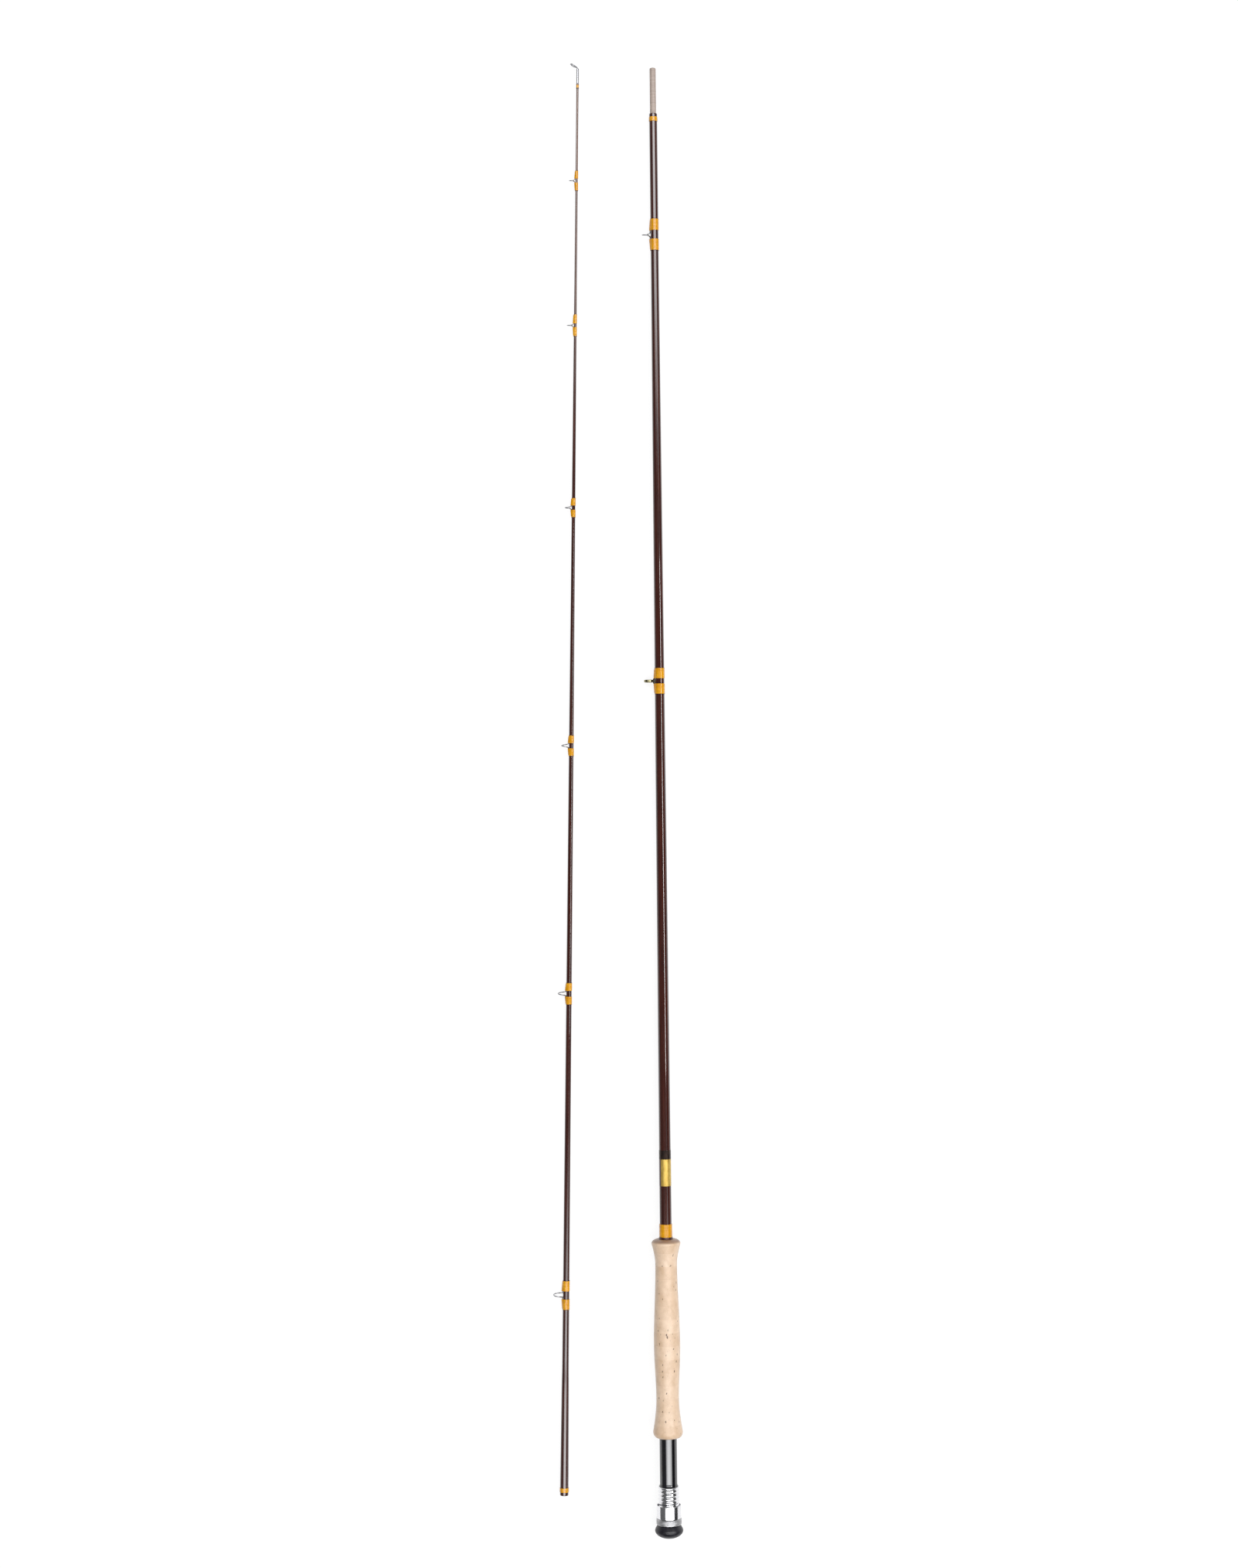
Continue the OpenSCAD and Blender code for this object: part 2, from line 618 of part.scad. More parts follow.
module sliding_hood() {
  r = hood_r;
  hole = run_r;
  lip = 0.3;
  color([0.85, 0.85, 0.87]) on_butt() turned([
    [hole, hood_y], [r - lip, hood_y], [r, hood_y + lip],
    [r, hood_y + hood_len - lip], [r - lip, hood_y + hood_len],
    [r - hood_wall, hood_y + hood_len], [r - hood_wall, hood_y + hood_floor],
    [hole, hood_y + hood_floor]
  ]);
}
module lock_ring() {
  r = ring_r;
  lip = 0.35;
  color([0.66, 0.66, 0.68]) on_butt() turned([
    [run_r, ring_y], [r - lip, ring_y], [r, ring_y + lip],
    [r, ring_y + ring_len - lip], [r - lip, ring_y + ring_len],
    [run_r, ring_y + ring_len]
  ]);
}
module butt_cap() {
  r = cap_r;
  top_r = r - 2.3;
  color([0.08, 0.08, 0.1]) on_butt() turned(concat(
    [[0, 0]],
    [for (a = [10:10:90]) [r * sin(a), dome_len * (1 - cos(a))]],
    [[top_r, cap_len], [barrel_bore - glue_gap, cap_len],
     [barrel_bore - glue_gap, cap_len + plug_len], [0, cap_len + plug_len]]
  ));
}

butt_blank();
spigot();
ferrule_winding();
butt_snake_guide();
butt_snake_windings();
stripping_frame();
stripping_ring();
stripping_windings();
label_band();
grip_winding();
winding_check();
fixed_hood();
seat_arbors();
seat_barrel();
thread_sleeve();
sliding_hood();
lock_ring();
butt_cap();
for (i = [1:cork_rings]) cork_ring(i);
tip_blank();
socket_winding();
tip_top_tube();
tip_top_loop();
tip_top_winding();
for (i = [1:len(snakes)]) tip_snake(i);
for (i = [1:len(snakes)]) tip_windings(i);
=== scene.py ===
import json
import math
from itertools import product

import bpy
from mathutils import Matrix, Vector, noise


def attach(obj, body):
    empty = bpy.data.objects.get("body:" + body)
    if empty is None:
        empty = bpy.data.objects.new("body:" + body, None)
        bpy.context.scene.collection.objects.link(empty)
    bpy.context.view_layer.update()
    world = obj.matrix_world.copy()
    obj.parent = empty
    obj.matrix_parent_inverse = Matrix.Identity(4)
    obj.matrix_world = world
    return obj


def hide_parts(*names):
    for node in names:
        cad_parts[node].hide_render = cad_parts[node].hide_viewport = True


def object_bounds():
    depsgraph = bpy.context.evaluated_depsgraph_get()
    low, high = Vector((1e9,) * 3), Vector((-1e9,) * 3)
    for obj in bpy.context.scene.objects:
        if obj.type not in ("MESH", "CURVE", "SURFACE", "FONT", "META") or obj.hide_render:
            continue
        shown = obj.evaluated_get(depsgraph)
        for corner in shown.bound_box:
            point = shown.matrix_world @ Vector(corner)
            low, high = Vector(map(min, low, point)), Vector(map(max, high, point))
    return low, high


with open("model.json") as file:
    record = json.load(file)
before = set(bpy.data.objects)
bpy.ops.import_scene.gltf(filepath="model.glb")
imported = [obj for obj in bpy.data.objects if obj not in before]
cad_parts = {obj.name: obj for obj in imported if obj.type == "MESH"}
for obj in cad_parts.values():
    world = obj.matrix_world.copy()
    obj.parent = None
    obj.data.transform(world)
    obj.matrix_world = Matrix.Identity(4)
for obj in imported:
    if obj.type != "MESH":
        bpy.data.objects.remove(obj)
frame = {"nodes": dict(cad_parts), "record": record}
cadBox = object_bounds()
mm = 0.001
fullTurn = 2 * math.pi
clear = 0.02      # keeps a piece off the one it lies on
print("frame loaded,", len(frame["nodes"]), "nodes")


# Each section has its own axes: X sideways, Y along it from its lower end, Z up.
# All sizes are in millimetres.
mounts = {m["name"]: m for m in frame["record"]["mounts"]}


def sectionPlace(point, axis, lowNode):
    along = Vector(axis).normalized()
    side = along.cross(Vector((0, 0, 1))).normalized()
    up = side.cross(along)
    low = min((v.co - point).dot(along) for v in frame["nodes"][lowNode].data.vertices)
    place = Matrix((side, along, up)).transposed().to_4x4()
    place.translation = point + along * low
    return place


socketAxis = [-a for a in mounts["socket"]["axis"]]
places = {
    "butt": sectionPlace(Vector(mounts["spigot"]["pos_m"]), mounts["spigot"]["axis"], "butt_cap"),
    "tip": sectionPlace(Vector(mounts["socket"]["pos_m"]), socketAxis, "tip_blank"),
}
bodies = {"butt": "butt_section", "tip": "tip_section"}


# Lowest and highest place of a frame node along its section.
def spanOf(node, section):
    back = places[section].inverted()
    spots = [(back @ v.co).y / mm for v in frame["nodes"][node].data.vertices]
    return min(spots), max(spots)


# One mesh object, placed on its section, that stands for the frame's nodes.
def newPiece(name, points, faces, section, finishes, nodes,
             body=None, faceFinish=None, crease=40):
    mesh = bpy.data.meshes.new(name)
    mesh.from_pydata([places[section] @ (Vector(p) * mm) for p in points], [], faces)
    for finish in finishes:
        mesh.materials.append(finish)
    if faceFinish:
        mesh.polygons.foreach_set("material_index", faceFinish)
    mesh.validate()
    mesh.shade_smooth()
    mesh.set_sharp_from_angle(angle=math.radians(crease))
    piece = bpy.data.objects.new(name, mesh)
    bpy.context.scene.collection.objects.link(piece)
    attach(piece, body or bodies[section])
    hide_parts(*nodes)
    return piece


# A skin over rings of points. A looped skin joins its last ring to its first, an open one gets flat ends.
def skinOver(rings, looped=False):
    count = len(rings[0])
    points = [p for ring in rings for p in ring]
    faces = []
    for i in range(len(rings) if looped else len(rings) - 1):
        a = i * count
        b = (i + 1) % len(rings) * count
        for k in range(count):
            n = (k + 1) % count
            faces.append((a + k, a + n, b + n, b + k))
    if not looped:
        faces.append(tuple(range(count))[::-1])
        last = (len(rings) - 1) * count
        faces.append(tuple(range(last, last + count)))
    return points, faces


# Rounds the corners of an outline of (radius, along, corner) points.
def softOutline(outline, looped):
    out = []
    for i, (r, y, *corner) in enumerate(outline):
        size = corner[0] if corner else 0
        ends = not looped and i in (0, len(outline) - 1)
        if size <= 0 or ends:
            out.append((r, y))
            continue
        here = Vector((r, y))
        before = Vector(outline[i - 1][:2]) - here
        after = Vector(outline[(i + 1) % len(outline)][:2]) - here
        reach = min(size, before.length * 0.48, after.length * 0.48)
        start = here + before.normalized() * reach
        end = here + after.normalized() * reach
        for k in range(5):
            t = k / 4
            spot = start.lerp(here, t).lerp(here.lerp(end, t), t)
            out.append((spot.x, spot.y))
    return out


def turnsOf(sides):
    return [fullTurn * k / sides for k in range(sides)]


def around(r, y, a):
    return (r * math.sin(a), y, r * math.cos(a))


def ringAt(r, y, sides):
    return [around(r, y, a) for a in turnsOf(sides)]


# A piece turned about its section's axis from an outline of (radius, along, corner) points.
def turnedPiece(name, outline, section, finishes, nodes,
                sides=96, body=None, solid=False, pick=None):
    leastRadius = 0.001
    soft = softOutline(outline, not solid)
    rings = [ringAt(max(r, leastRadius), y, sides) for r, y in soft]
    points, faces = skinOver(rings, looped=not solid)
    picks = [pick(sum(points[i][1] for i in f) / len(f), f) for f in faces] if pick else None
    newPiece(name, points, faces, section, finishes, nodes, body, picks)


def mixed(a, b, t):
    return a + (b - a) * t


def eased(t):
    t = min(1, max(0, t))
    return t * t * (3 - 2 * t)


def lookUp(table, y):
    for (y0, r0), (y1, r1) in zip(table, table[1:]):
        if y <= y1:
            return mixed(r0, r1, max(0, (y - y0) / (y1 - y0)))
    return table[-1][1]


# A colour given as it looks on screen, 0 to 255.
def tone(r, g, b):
    return (*[((c / 255 + 0.055) / 1.055) ** 2.4 if c > 10 else c / 255 / 12.92 for c in (r, g, b)], 1)


def newFinish(name, **sockets):
    finish = bpy.data.materials.new(name)
    finish.use_nodes = True
    shader = finish.node_tree.nodes["Principled BSDF"]
    for socket, value in sockets.items():
        shader.inputs[socket.replace("_", " ")].default_value = value
    return finish, shader


def addNode(finish, kind, inputs=None, **settings):
    tree = finish.node_tree
    node = tree.nodes.new("ShaderNode" + kind)
    for key, value in settings.items():
        setattr(node, key, value)
    for key, value in (inputs or {}).items():
        if isinstance(value, bpy.types.NodeSocket):
            tree.links.new(value, node.inputs[key])
        else:
            node.inputs[key].default_value = value
    return node


def join(finish, output, socket):
    finish.node_tree.links.new(output, socket)


def setLook(finish, shader, colour, rough=None):
    join(finish, colour, shader.inputs["Base Color"])
    if rough:
        join(finish, rough, shader.inputs["Roughness"])


# X, Y and Z of one of the surface's own coordinates.
def axesOf(owner, kind):
    return addNode(owner, "SeparateXYZ", {"Vector": addNode(owner, "TexCoord").outputs[kind]}).outputs


# The piece's own coordinates, stretched: bigger numbers give finer detail that way.
def stretched(finish, x, y, z):
    spot = addNode(finish, "TexCoord").outputs["Object"]
    return addNode(finish, "Mapping", {"Vector": spot, "Scale": (x, y, z)}).outputs["Vector"]


def noiseAt(finish, scale, detail, rough=0.55):
    spot = stretched(finish, *scale)
    inputs = {"Vector": spot, "Scale": 1.0, "Detail": detail, "Roughness": rough}
    return addNode(finish, "TexNoise", inputs).outputs["Fac"]


def rampOf(finish, value, stops):
    ramp = addNode(finish, "ValToRGB", {"Fac": value})
    bands = ramp.color_ramp.elements
    while len(bands) < len(stops):
        bands.new(0.5)
    for band, (place, colour) in zip(bands, stops):
        band.position = place
        band.color = colour
    return ramp.outputs["Color"]


def blended(finish, share, a, b, how="MIX"):
    node = addNode(finish, "Mix", {0: share, 6: a, 7: b}, data_type="RGBA", blend_type=how)
    return node.outputs[2]


# Noise mostly lies between 0.3 and 0.7, so that is the range spread over low to high.
def scaled(finish, value, low, high, fromLow=0.3, fromHigh=0.7, **settings):
    inputs = {"Value": value, "From Min": fromLow, "From Max": fromHigh, "To Min": low, "To Max": high}
    return addNode(finish, "MapRange", inputs, **settings).outputs["Result"]


def addBump(finish, shader, height, depth, strength=1.0):
    bump = addNode(finish, "Bump", {"Height": height, "Distance": depth * mm, "Strength": strength})
    join(finish, bump.outputs["Normal"], shader.inputs["Normal"])
    if shader.inputs["Coat Weight"].default_value > 0:
        join(finish, bump.outputs["Normal"], shader.inputs["Coat Normal"])


# A finish whose colour and bump follow one grain, and its roughness too where dull gives a range.
def grainFinish(name, scale, detail, stops, depth, rough=0.55, dull=None, **sockets):
    finish, shader = newFinish(name, **sockets)
    grain = noiseAt(finish, scale, detail, rough)
    setLook(finish, shader, rampOf(finish, grain, stops), scaled(finish, grain, *dull) if dull else None)
    addBump(finish, shader, grain, depth)
    return finish


# The blank is hollow glass fibre under gloss varnish. Grain is finer where its number is bigger.
blankLook = {
    "deep": tone(44, 13, 8),
    "warm": tone(72, 28, 16),
    "slimDeep": tone(84, 52, 40),
    "slimWarm": tone(120, 84, 66),
    "slimFrom": 1010,      # the tip section pales towards its slim end
    "slimTo": 1290,
    "fibres": (900, 22, 900),
    "cloth": (600, 1500, 600),
    "clothShare": 0.16,
    "patches": (60, 14, 60),
    "ripples": (260, 60, 260),
    "varnish": 0.06,
    "varnishIOR": 1.65,
}


def blankFinish(name, pales):
    look = blankLook
    finish, shader = newFinish(name, Specular_IOR_Level=0.1, Coat_Weight=1.0,
                               Coat_Roughness=look["varnish"], Coat_IOR=look["varnishIOR"])
    fibres = noiseAt(finish, look["fibres"], detail=4)
    weave = {"Vector": stretched(finish, *look["cloth"]), "Scale": 1.0, "Distortion": 2.0, "Detail": 2.0}
    cloth = addNode(finish, "TexWave", weave, bands_direction="Y").outputs["Fac"]
    share = scaled(finish, fibres, 0, 1, 0.35, 0.68)
    colour = blended(finish, share, look["deep"], look["warm"])
    if pales:
        slim = blended(finish, share, look["slimDeep"], look["slimWarm"])
        along = axesOf(finish, "Object")["Y"]
        low = places["tip"].translation.y
        fade = scaled(finish, along, 0, 1, low + look["slimFrom"] * mm, low + look["slimTo"] * mm)
        colour = blended(finish, fade, colour, slim)
    colour = blended(finish, look["clothShare"], colour, cloth, "SOFT_LIGHT")
    patches = noiseAt(finish, look["patches"], detail=2)
    colour = blended(finish, scaled(finish, patches, 0, 0.35), colour, look["deep"])
    setLook(finish, shader, colour, scaled(finish, patches, 0.16, 0.3))
    addBump(finish, shader, noiseAt(finish, look["ripples"], detail=2), 0.02)
    return finish


buttBlankFinish = blankFinish("brownGlassFibre", False)
tipBlankFinish = blankFinish("palingGlassFibre", True)

# Tapers and bores are rows of (along, radius).
buttBlank = {
    "taper": [(0, 6.1), (285.1, 5.75), (1212, 3.8), (1362, 3.8)],
    "bore": [(24, 4.9), (285.1, 4.55), (1301, 2.6), (1321, 2.77), (1362, 2.77)],
    "low": 24.0,
    "step": 12.0,
    "blend": 9.0,
}
tipBlank = {
    "taper": [(0, 4.05), (20, 4.01), (106, 3.47), (122, 3.22), (744, 2.18), (1166, 1.2), (1366, 1.07)],
    "stub": (1353.35, 0.87),      # where it slims to fit the tip top's tube
    "socketDeep": 48.0,
    "socketRadius": 2.98,
    "bore": [(54, 2.78), (122, 2.27), (744, 1.23), (1160, 0.3)],
    "boreEnd": 1166,
    "step": 12.0,
    "fineStep": 4.0,
    "fineTo": 130,
    "blend": 6,
    "blendFrom": 30,
    "blendTo": 1180,
}


def buttRadius(y):
    return lookUp(buttBlank["taper"], y)


def tipRadius(y):
    return lookUp(tipBlank["taper"], y)


# Small blend lengths take the kinks out of the taper.
def smoothRadius(radius, y, reach):
    return (radius(y - reach) + 2 * radius(y) + radius(y + reach)) / 4


def makeButtBlank():
    b = buttBlank
    high = b["taper"][-1][0]
    outline = [(lookUp(b["bore"], b["low"]), b["low"], 0.2)]
    y = b["low"]
    while y < high - b["step"]:
        outline.append((smoothRadius(buttRadius, y, b["blend"]), y))
        y += b["step"]
    outline += [(buttRadius(high), high - 2), (buttRadius(high), high, 0.25)]
    outline += [(r, y) for y, r in reversed(b["bore"])][:-1]
    turnedPiece("glassButt", outline, "butt", [buttBlankFinish], ["butt_blank"], sides=72)


def makeTipBlank():
    b = tipBlank
    stubLow, stubRadius = b["stub"]
    high = b["taper"][-1][0]
    pinhole = 0.02
    outline = [(b["socketRadius"], 0, 0.12), (tipRadius(0), 0, 0.35)]
    y = b["fineStep"]
    while y < stubLow - b["blend"]:
        blends = b["blendFrom"] <= y <= b["blendTo"]
        outline.append((smoothRadius(tipRadius, y, b["blend"]) if blends else tipRadius(y), y))
        y += b["step"] if y > b["fineTo"] else b["fineStep"]
    outline += [(tipRadius(stubLow), stubLow), (stubRadius, stubLow), (stubRadius, high)]
    outline += [(pinhole, high), (pinhole, b["boreEnd"])]
    outline += [(r, y) for y, r in reversed(b["bore"])]
    outline += [(b["socketRadius"] - 0.2, b["socketDeep"]), (b["socketRadius"], b["socketDeep"])]
    turnedPiece("glassTip", outline, "tip", [tipBlankFinish], ["tip_blank"], sides=72)


makeButtBlank()
makeTipBlank()
print("blanks made")


# The spigot is a ground plug of glass fibre, glued in the butt blank.
spigotLook = {
    "pale": tone(196, 180, 170),
    "dark": tone(150, 134, 124),
    "radius": 2.95,
    "tucked": 2.75,
    "nose": 1.0,
}


def makeSpigot():
    finish, shader = newFinish("groundGlassFibre")
    grind = noiseAt(finish, (60, 2600, 60), detail=4, rough=0.7)
    fibres = noiseAt(finish, (1500, 40, 1500), detail=3)
    colour = rampOf(finish, grind, [(0.3, spigotLook["dark"]), (0.7, spigotLook["pale"])])
    colour = blended(finish, scaled(finish, fibres, 0, 0.5), colour, spigotLook["dark"])
    setLook(finish, shader, colour, scaled(finish, grind, 0.34, 0.55))
    addBump(finish, shader, grind, 0.02, 0.7)
    low, high = spanOf("spigot", "butt")
    r = spigotLook["radius"]
    n = spigotLook["nose"]
    tucked = spigotLook["tucked"]
    shoulder = buttBlank["taper"][-1][0] + clear
    outline = [(0, low), (tucked, low, 0.2), (tucked, shoulder), (r, shoulder, 0.05)]
    outline += [(r, mixed(shoulder, high - n, i / 8)) for i in range(1, 8)]
    outline += [(r - n + n * math.cos(a), high - n + n * math.sin(a)) for a in turnsOf(24)[:7]]
    outline.append((0, high))
    turnedPiece("groundSpigot", outline, "butt", [finish], ["spigot"], solid=True)


makeSpigot()


# Windings are gold thread under varnish, with a dark trim thread at the ends.
threadLook = {
    "deep": tone(184, 118, 2),
    "gold": tone(214, 150, 5),
    "bright": tone(232, 174, 18),
    "trimDeep": tone(38, 12, 6),
    "trim": tone(52, 18, 10),
    "trimBright": tone(84, 38, 20),
    "thread": 0.24,       # one turn of the guide thread
    "gripThread": 0.34,
    "ridge": 0.028,
    "trimLength": 0.45,
    "thickness": 0.35,
    "sides": 64,
}


def threadFinish(name, deep, mid, bright):
    pitch = threadLook["thread"]
    finish, shader = newFinish(name, Coat_Weight=1.0, Coat_Roughness=0.12, Specular_IOR_Level=0.1)
    strands = noiseAt(finish, (90, 1000 / pitch, 90), detail=3)
    cloudy = noiseAt(finish, (120, 120, 120), detail=3)
    colour = rampOf(finish, strands, [(0.3, deep), (0.52, mid), (0.78, bright)])
    colour = blended(finish, scaled(finish, cloudy, 0, 0.45, 0.45, 0.75), colour, deep)
    setLook(finish, shader, colour, scaled(finish, cloudy, 0.32, 0.5))
    addBump(finish, shader, noiseAt(finish, (500, 1600 / pitch, 500), detail=2), 0.025)
    return finish


goldTones = [threadLook[key] for key in ("deep", "gold", "bright")]
trimTones = [threadLook[key] for key in ("trimDeep", "trim", "trimBright")]
goldThread = threadFinish("goldThread", *goldTones)
trimThread = threadFinish("brownTrimThread", *trimTones)


# Radius of thread stretched over a blank of radius r and a foot of height h and half width w
# on the -X side.
def stretchedThread(r, h, w, turn):
    if h <= 0.01:
        return r
    off = abs((turn - 1.5 * math.pi + math.pi) % fullTurn - math.pi)
    corner = math.atan2(w, r + h)
    tangent = math.acos(min(1, r / math.hypot(r + h, w)))
    if off <= corner:
        return (r + h) / math.cos(off)
    if off <= corner + tangent:
        return r / math.cos(corner + tangent - off)
    return r


# Each winding is (low, high, foot). A foot is (height by the guide, height at its end, half width,
# where the guide is, where the foot ends), or None where the winding covers no foot.
def windingPiece(name, windings, radius, section, node, pitch=None, thick=None, trim=None):
    look = threadLook
    pitch = pitch or look["thread"]
    thick = thick or look["thickness"]
    trim = look["trimLength"] if trim is None else trim
    points = []
    faces = []
    picks = []
    for low, high, foot in windings:
        rows = max(8, 2 * round((high - low) / pitch))
        rings = []
        for i in range(rows + 1):
            y = mixed(low, high, i / rows)
            edge = min(1, (min(y - low, high - y) + 0.05) / 0.3)
            skin = thick * mixed(0.45, 1, math.sqrt(edge)) - look["ridge"] * (i % 2)
            h = w = 0
            if foot:
                footHigh, footLow, halfWide, near, end = foot
                t = (y - near) / (end - near)
                h = mixed(footHigh, footLow, t)
                w = halfWide
                if t > 1:      # past the foot's end the thread comes down to the blank
                    h = footLow * max(0, 1 - (t - 1) * abs(end - near) / 0.5)
                    w = halfWide * 0.6
            base = radius(y) + clear + skin
            turns = turnsOf(look["sides"])
            rings.append([around(stretchedThread(base, h, w, a), y, a) for a in turns])
        rings += [ringAt(radius(y) + clear / 2, y, look["sides"]) for y in (high, low)]
        more, skins = skinOver(rings, looped=True)
        start = len(points)
        points += more
        faces += [tuple(i + start for i in f) for f in skins]
        untrimmed = foot[3] if foot else None      # the end beside the guide has no trim
        for f in skins:
            y = sum(more[i][1] for i in f) / 4
            away = min(abs(y - side) for side in (low, high) if side != untrimmed)
            picks.append(1 if away < trim else 0)
    finishes = [goldThread, trimThread]
    newPiece(name, points, faces, section, finishes, [node], None, picks, crease=60)


footShort = 1.2      # how far a guide's foot ends inside its winding
footThin = 0.3       # how thin it is there
footWide = 1.25      # how much wider it is there

# Snake guides: height over the blank, wire diameter, length of each winding, gap between the two.
guideRows = {
    "snake_guide_1": (6.2, 0.8, 8.0, 3.8),
    "snake_guide_2": (6.8, 0.8, 9.0, 3.6),
    "snake_guide_3": (6.9, 0.9, 7.5, 4.1),
    "snake_guide_4": (7.5, 0.9, 7.6, 5.1),
    "snake_guide_5": (8.2, 1.0, 7.8, 5.6),
    "snake_guide_6": (9.29, 1.0, 10.2, 7.8),
    "butt_snake_guide": (8.3, 1.0, 11.2, 8.4),
}


def middleOf(node, section):
    return sum(spanOf(node, section)) / 2


def snakeWindings(guide, node, section, radius):
    wire, length, gap = guideRows[guide][1:]
    middle = middleOf(node, section)
    seat = max(radius(middle - gap / 2 - length), radius(middle))
    footEnd = gap / 2 + length - footShort
    rows = []
    for way in (-1, 1):
        near = middle + way * gap / 2
        far = middle + way * (gap / 2 + length)
        lift = seat - radius(near)
        liftFar = seat - radius(far)
        foot = (wire + lift, footThin + liftFar, wire / 2 * footWide, near, middle + way * footEnd)
        rows.append((min(near, far), max(near, far), foot))
    windingPiece("threadOn_" + guide, rows, radius, section, node)


for i in range(1, 7):
    snakeWindings(f"snake_guide_{i}", f"guide_windings_{i}", "tip", tipRadius)
snakeWindings("butt_snake_guide", "butt_snake_windings", "butt", buttRadius)

# The stripping guide. Its ring stands in a band on a base with two feet.
stripGuide = {
    "wind": 10.2,          # length of each winding
    "part": 5.0,           # gap between the two
    "ring": 9.0,
    "stand": 1.2,          # how high the ring stands over the blank
    "band": 0.75,
    "bandWide": 2.2,
    "insert": 0.6,
    "insertWide": 2.7,
    "baseWide": 3.2,
    "foot": 0.9,
    "footWide": 2.0,
    "footEnd": 11.0,
    "ringSides": 72,
    "footSides": 24,
}


stripMiddle = middleOf("stripping_windings", "butt")


def makeStripWindings():
    g = stripGuide
    middle = stripMiddle
    seat = buttRadius(middle - g["footEnd"])
    rows = []
    for way in (-1, 1):
        near = middle + way * g["part"] / 2
        far = near + way * g["wind"]
        footHigh = g["foot"] - 0.1 + seat - buttRadius(near)
        footLow = footThin + seat - buttRadius(far)
        foot = (footHigh, footLow, g["footWide"] / 2, near, middle + way * g["footEnd"])
        rows.append((min(near, far), max(near, far), foot))
    windingPiece("threadOnStrippingGuide", rows, buttRadius, "butt", "stripping_windings")


makeStripWindings()
for name, node, section, radius, pitch, thick, trim in (
    ("ferruleThread", "ferrule_winding", "butt", buttRadius, None, None, 0),
    ("socketThread", "socket_winding", "tip", tipRadius, None, None, 0),
    ("tipTopThread", "tip_top_winding", "tip", tipRadius, None, 0.175, 0.9),
    ("gripThread", "grip_winding", "butt", buttRadius, threadLook["gripThread"], 0.53, 0),
):
    low, high = spanOf(node, section)
    windingPiece(name, [(low, high, None)], radius, section, node, pitch, thick, trim)
print("windings made")


wireLook = {
    "steel": (0.36, 0.36, 0.38, 1),
    "worn": (0.22, 0.22, 0.22, 1),
    "sides": 16,
}


# Polished to satin metal. low and high are the ends of its roughness.
def brightMetal(name, colour, worn, low, high, grain=(400, 400, 400), depth=0.01):
    finish, shader = newFinish(name, Metallic=1.0)
    dull = noiseAt(finish, grain, detail=4)
    smudge = noiseAt(finish, (70, 70, 70), detail=2)
    setLook(finish, shader, blended(finish, scaled(finish, dull, 0, 0.6, 0.5, 0.8), colour, worn),
            scaled(finish, smudge, low, high))
    addBump(finish, shader, dull, depth, 0.5)
    return finish


wireSteel = brightMetal("polishedWire", wireLook["steel"], wireLook["worn"], 0.18, 0.32)


# A wire along rows of (outward, along, sideways, half thickness, half width). Outward is -X, from
# outAt, and the wire's thin side faces the line through centreOut.
def wireSkin(path, outAt, along, centreOut):
    rings = []
    for i, (u, y, z, thick, wide) in enumerate(path):
        before = Vector(path[max(i - 1, 0)][:3])
        after = Vector(path[min(i + 1, len(path) - 1)][:3])
        way = (after - before).normalized()
        inward = Vector((centreOut - u, 0, -z)).normalized()
        side = way.cross(inward).normalized()
        out = side.cross(way)
        ring = []
        for f in turnsOf(wireLook["sides"]):
            p = Vector((u, y, z)) + out * (thick * math.cos(f)) + side * (wide * math.sin(f))
            ring.append((-outAt - p.x, along + p.y, p.z))
        rings.append(ring)
    return skinOver(rings)


def makeSnakeGuide(guide, section, radius):
    height, wire, length, gap = guideRows[guide]
    middle = middleOf(guide, section)
    half = wire / 2
    loop = (height - wire) / 2
    spread = min(1.8, gap / 2 - wire * 0.7)
    footLength = gap / 2 + length - footShort - spread - wire
    rise = math.asin(wire / loop)
    path = []
    for i in range(12):      # the foot, from its thin end
        t = i / 12
        y = -spread - wire - footLength * (1 - t)
        thick = mixed(footThin / 2, half, eased(t * 1.25))
        path.append((thick - half, y, 0, thick, half * mixed(footWide, 1, eased(t))))
    for i in range(9):       # the bend out of the foot
        f = math.pi / 2 * i / 9
        z = wire * (1 - math.cos(f))
        y = -spread - wire + wire * math.sin(f)
        path.append((loop - math.sqrt(loop * loop - z * z), y, z, half, half))
    for i in range(25):      # half of the loop; the other half is its mirror
        t = i / 48
        q = rise + t * (fullTurn - 2 * rise)
        path.append((loop * (1 - math.cos(q)), -spread + 2 * spread * t, loop * math.sin(q), half, half))
    path += [(u, -y, -z, a, b) for u, y, z, a, b in reversed(path[:-1])]
    seat = max(radius(middle - gap / 2 - length), radius(middle))
    points, faces = wireSkin(path, seat + clear + half, middle, loop)
    newPiece("wire_" + guide, points, faces, section, [wireSteel], [guide])


for i in range(1, 7):
    makeSnakeGuide(f"snake_guide_{i}", "tip", tipRadius)
makeSnakeGuide("butt_snake_guide", "butt", buttRadius)


# The tip top is a tube with a wire loop.
tipTop = {
    "bore": 0.89,
    "wall": 0.2,
    "wire": 0.95,
    "loop": 6.4,
    "lean": 62.0,
    "stem": 2.2,
    "legs": 0.4,           # from the middle to each leg, where they leave the tube
    "opening": 0.55,       # half the loop's opening, in radians
    "bend": 1.3,
    "loopSteps": 56,
}


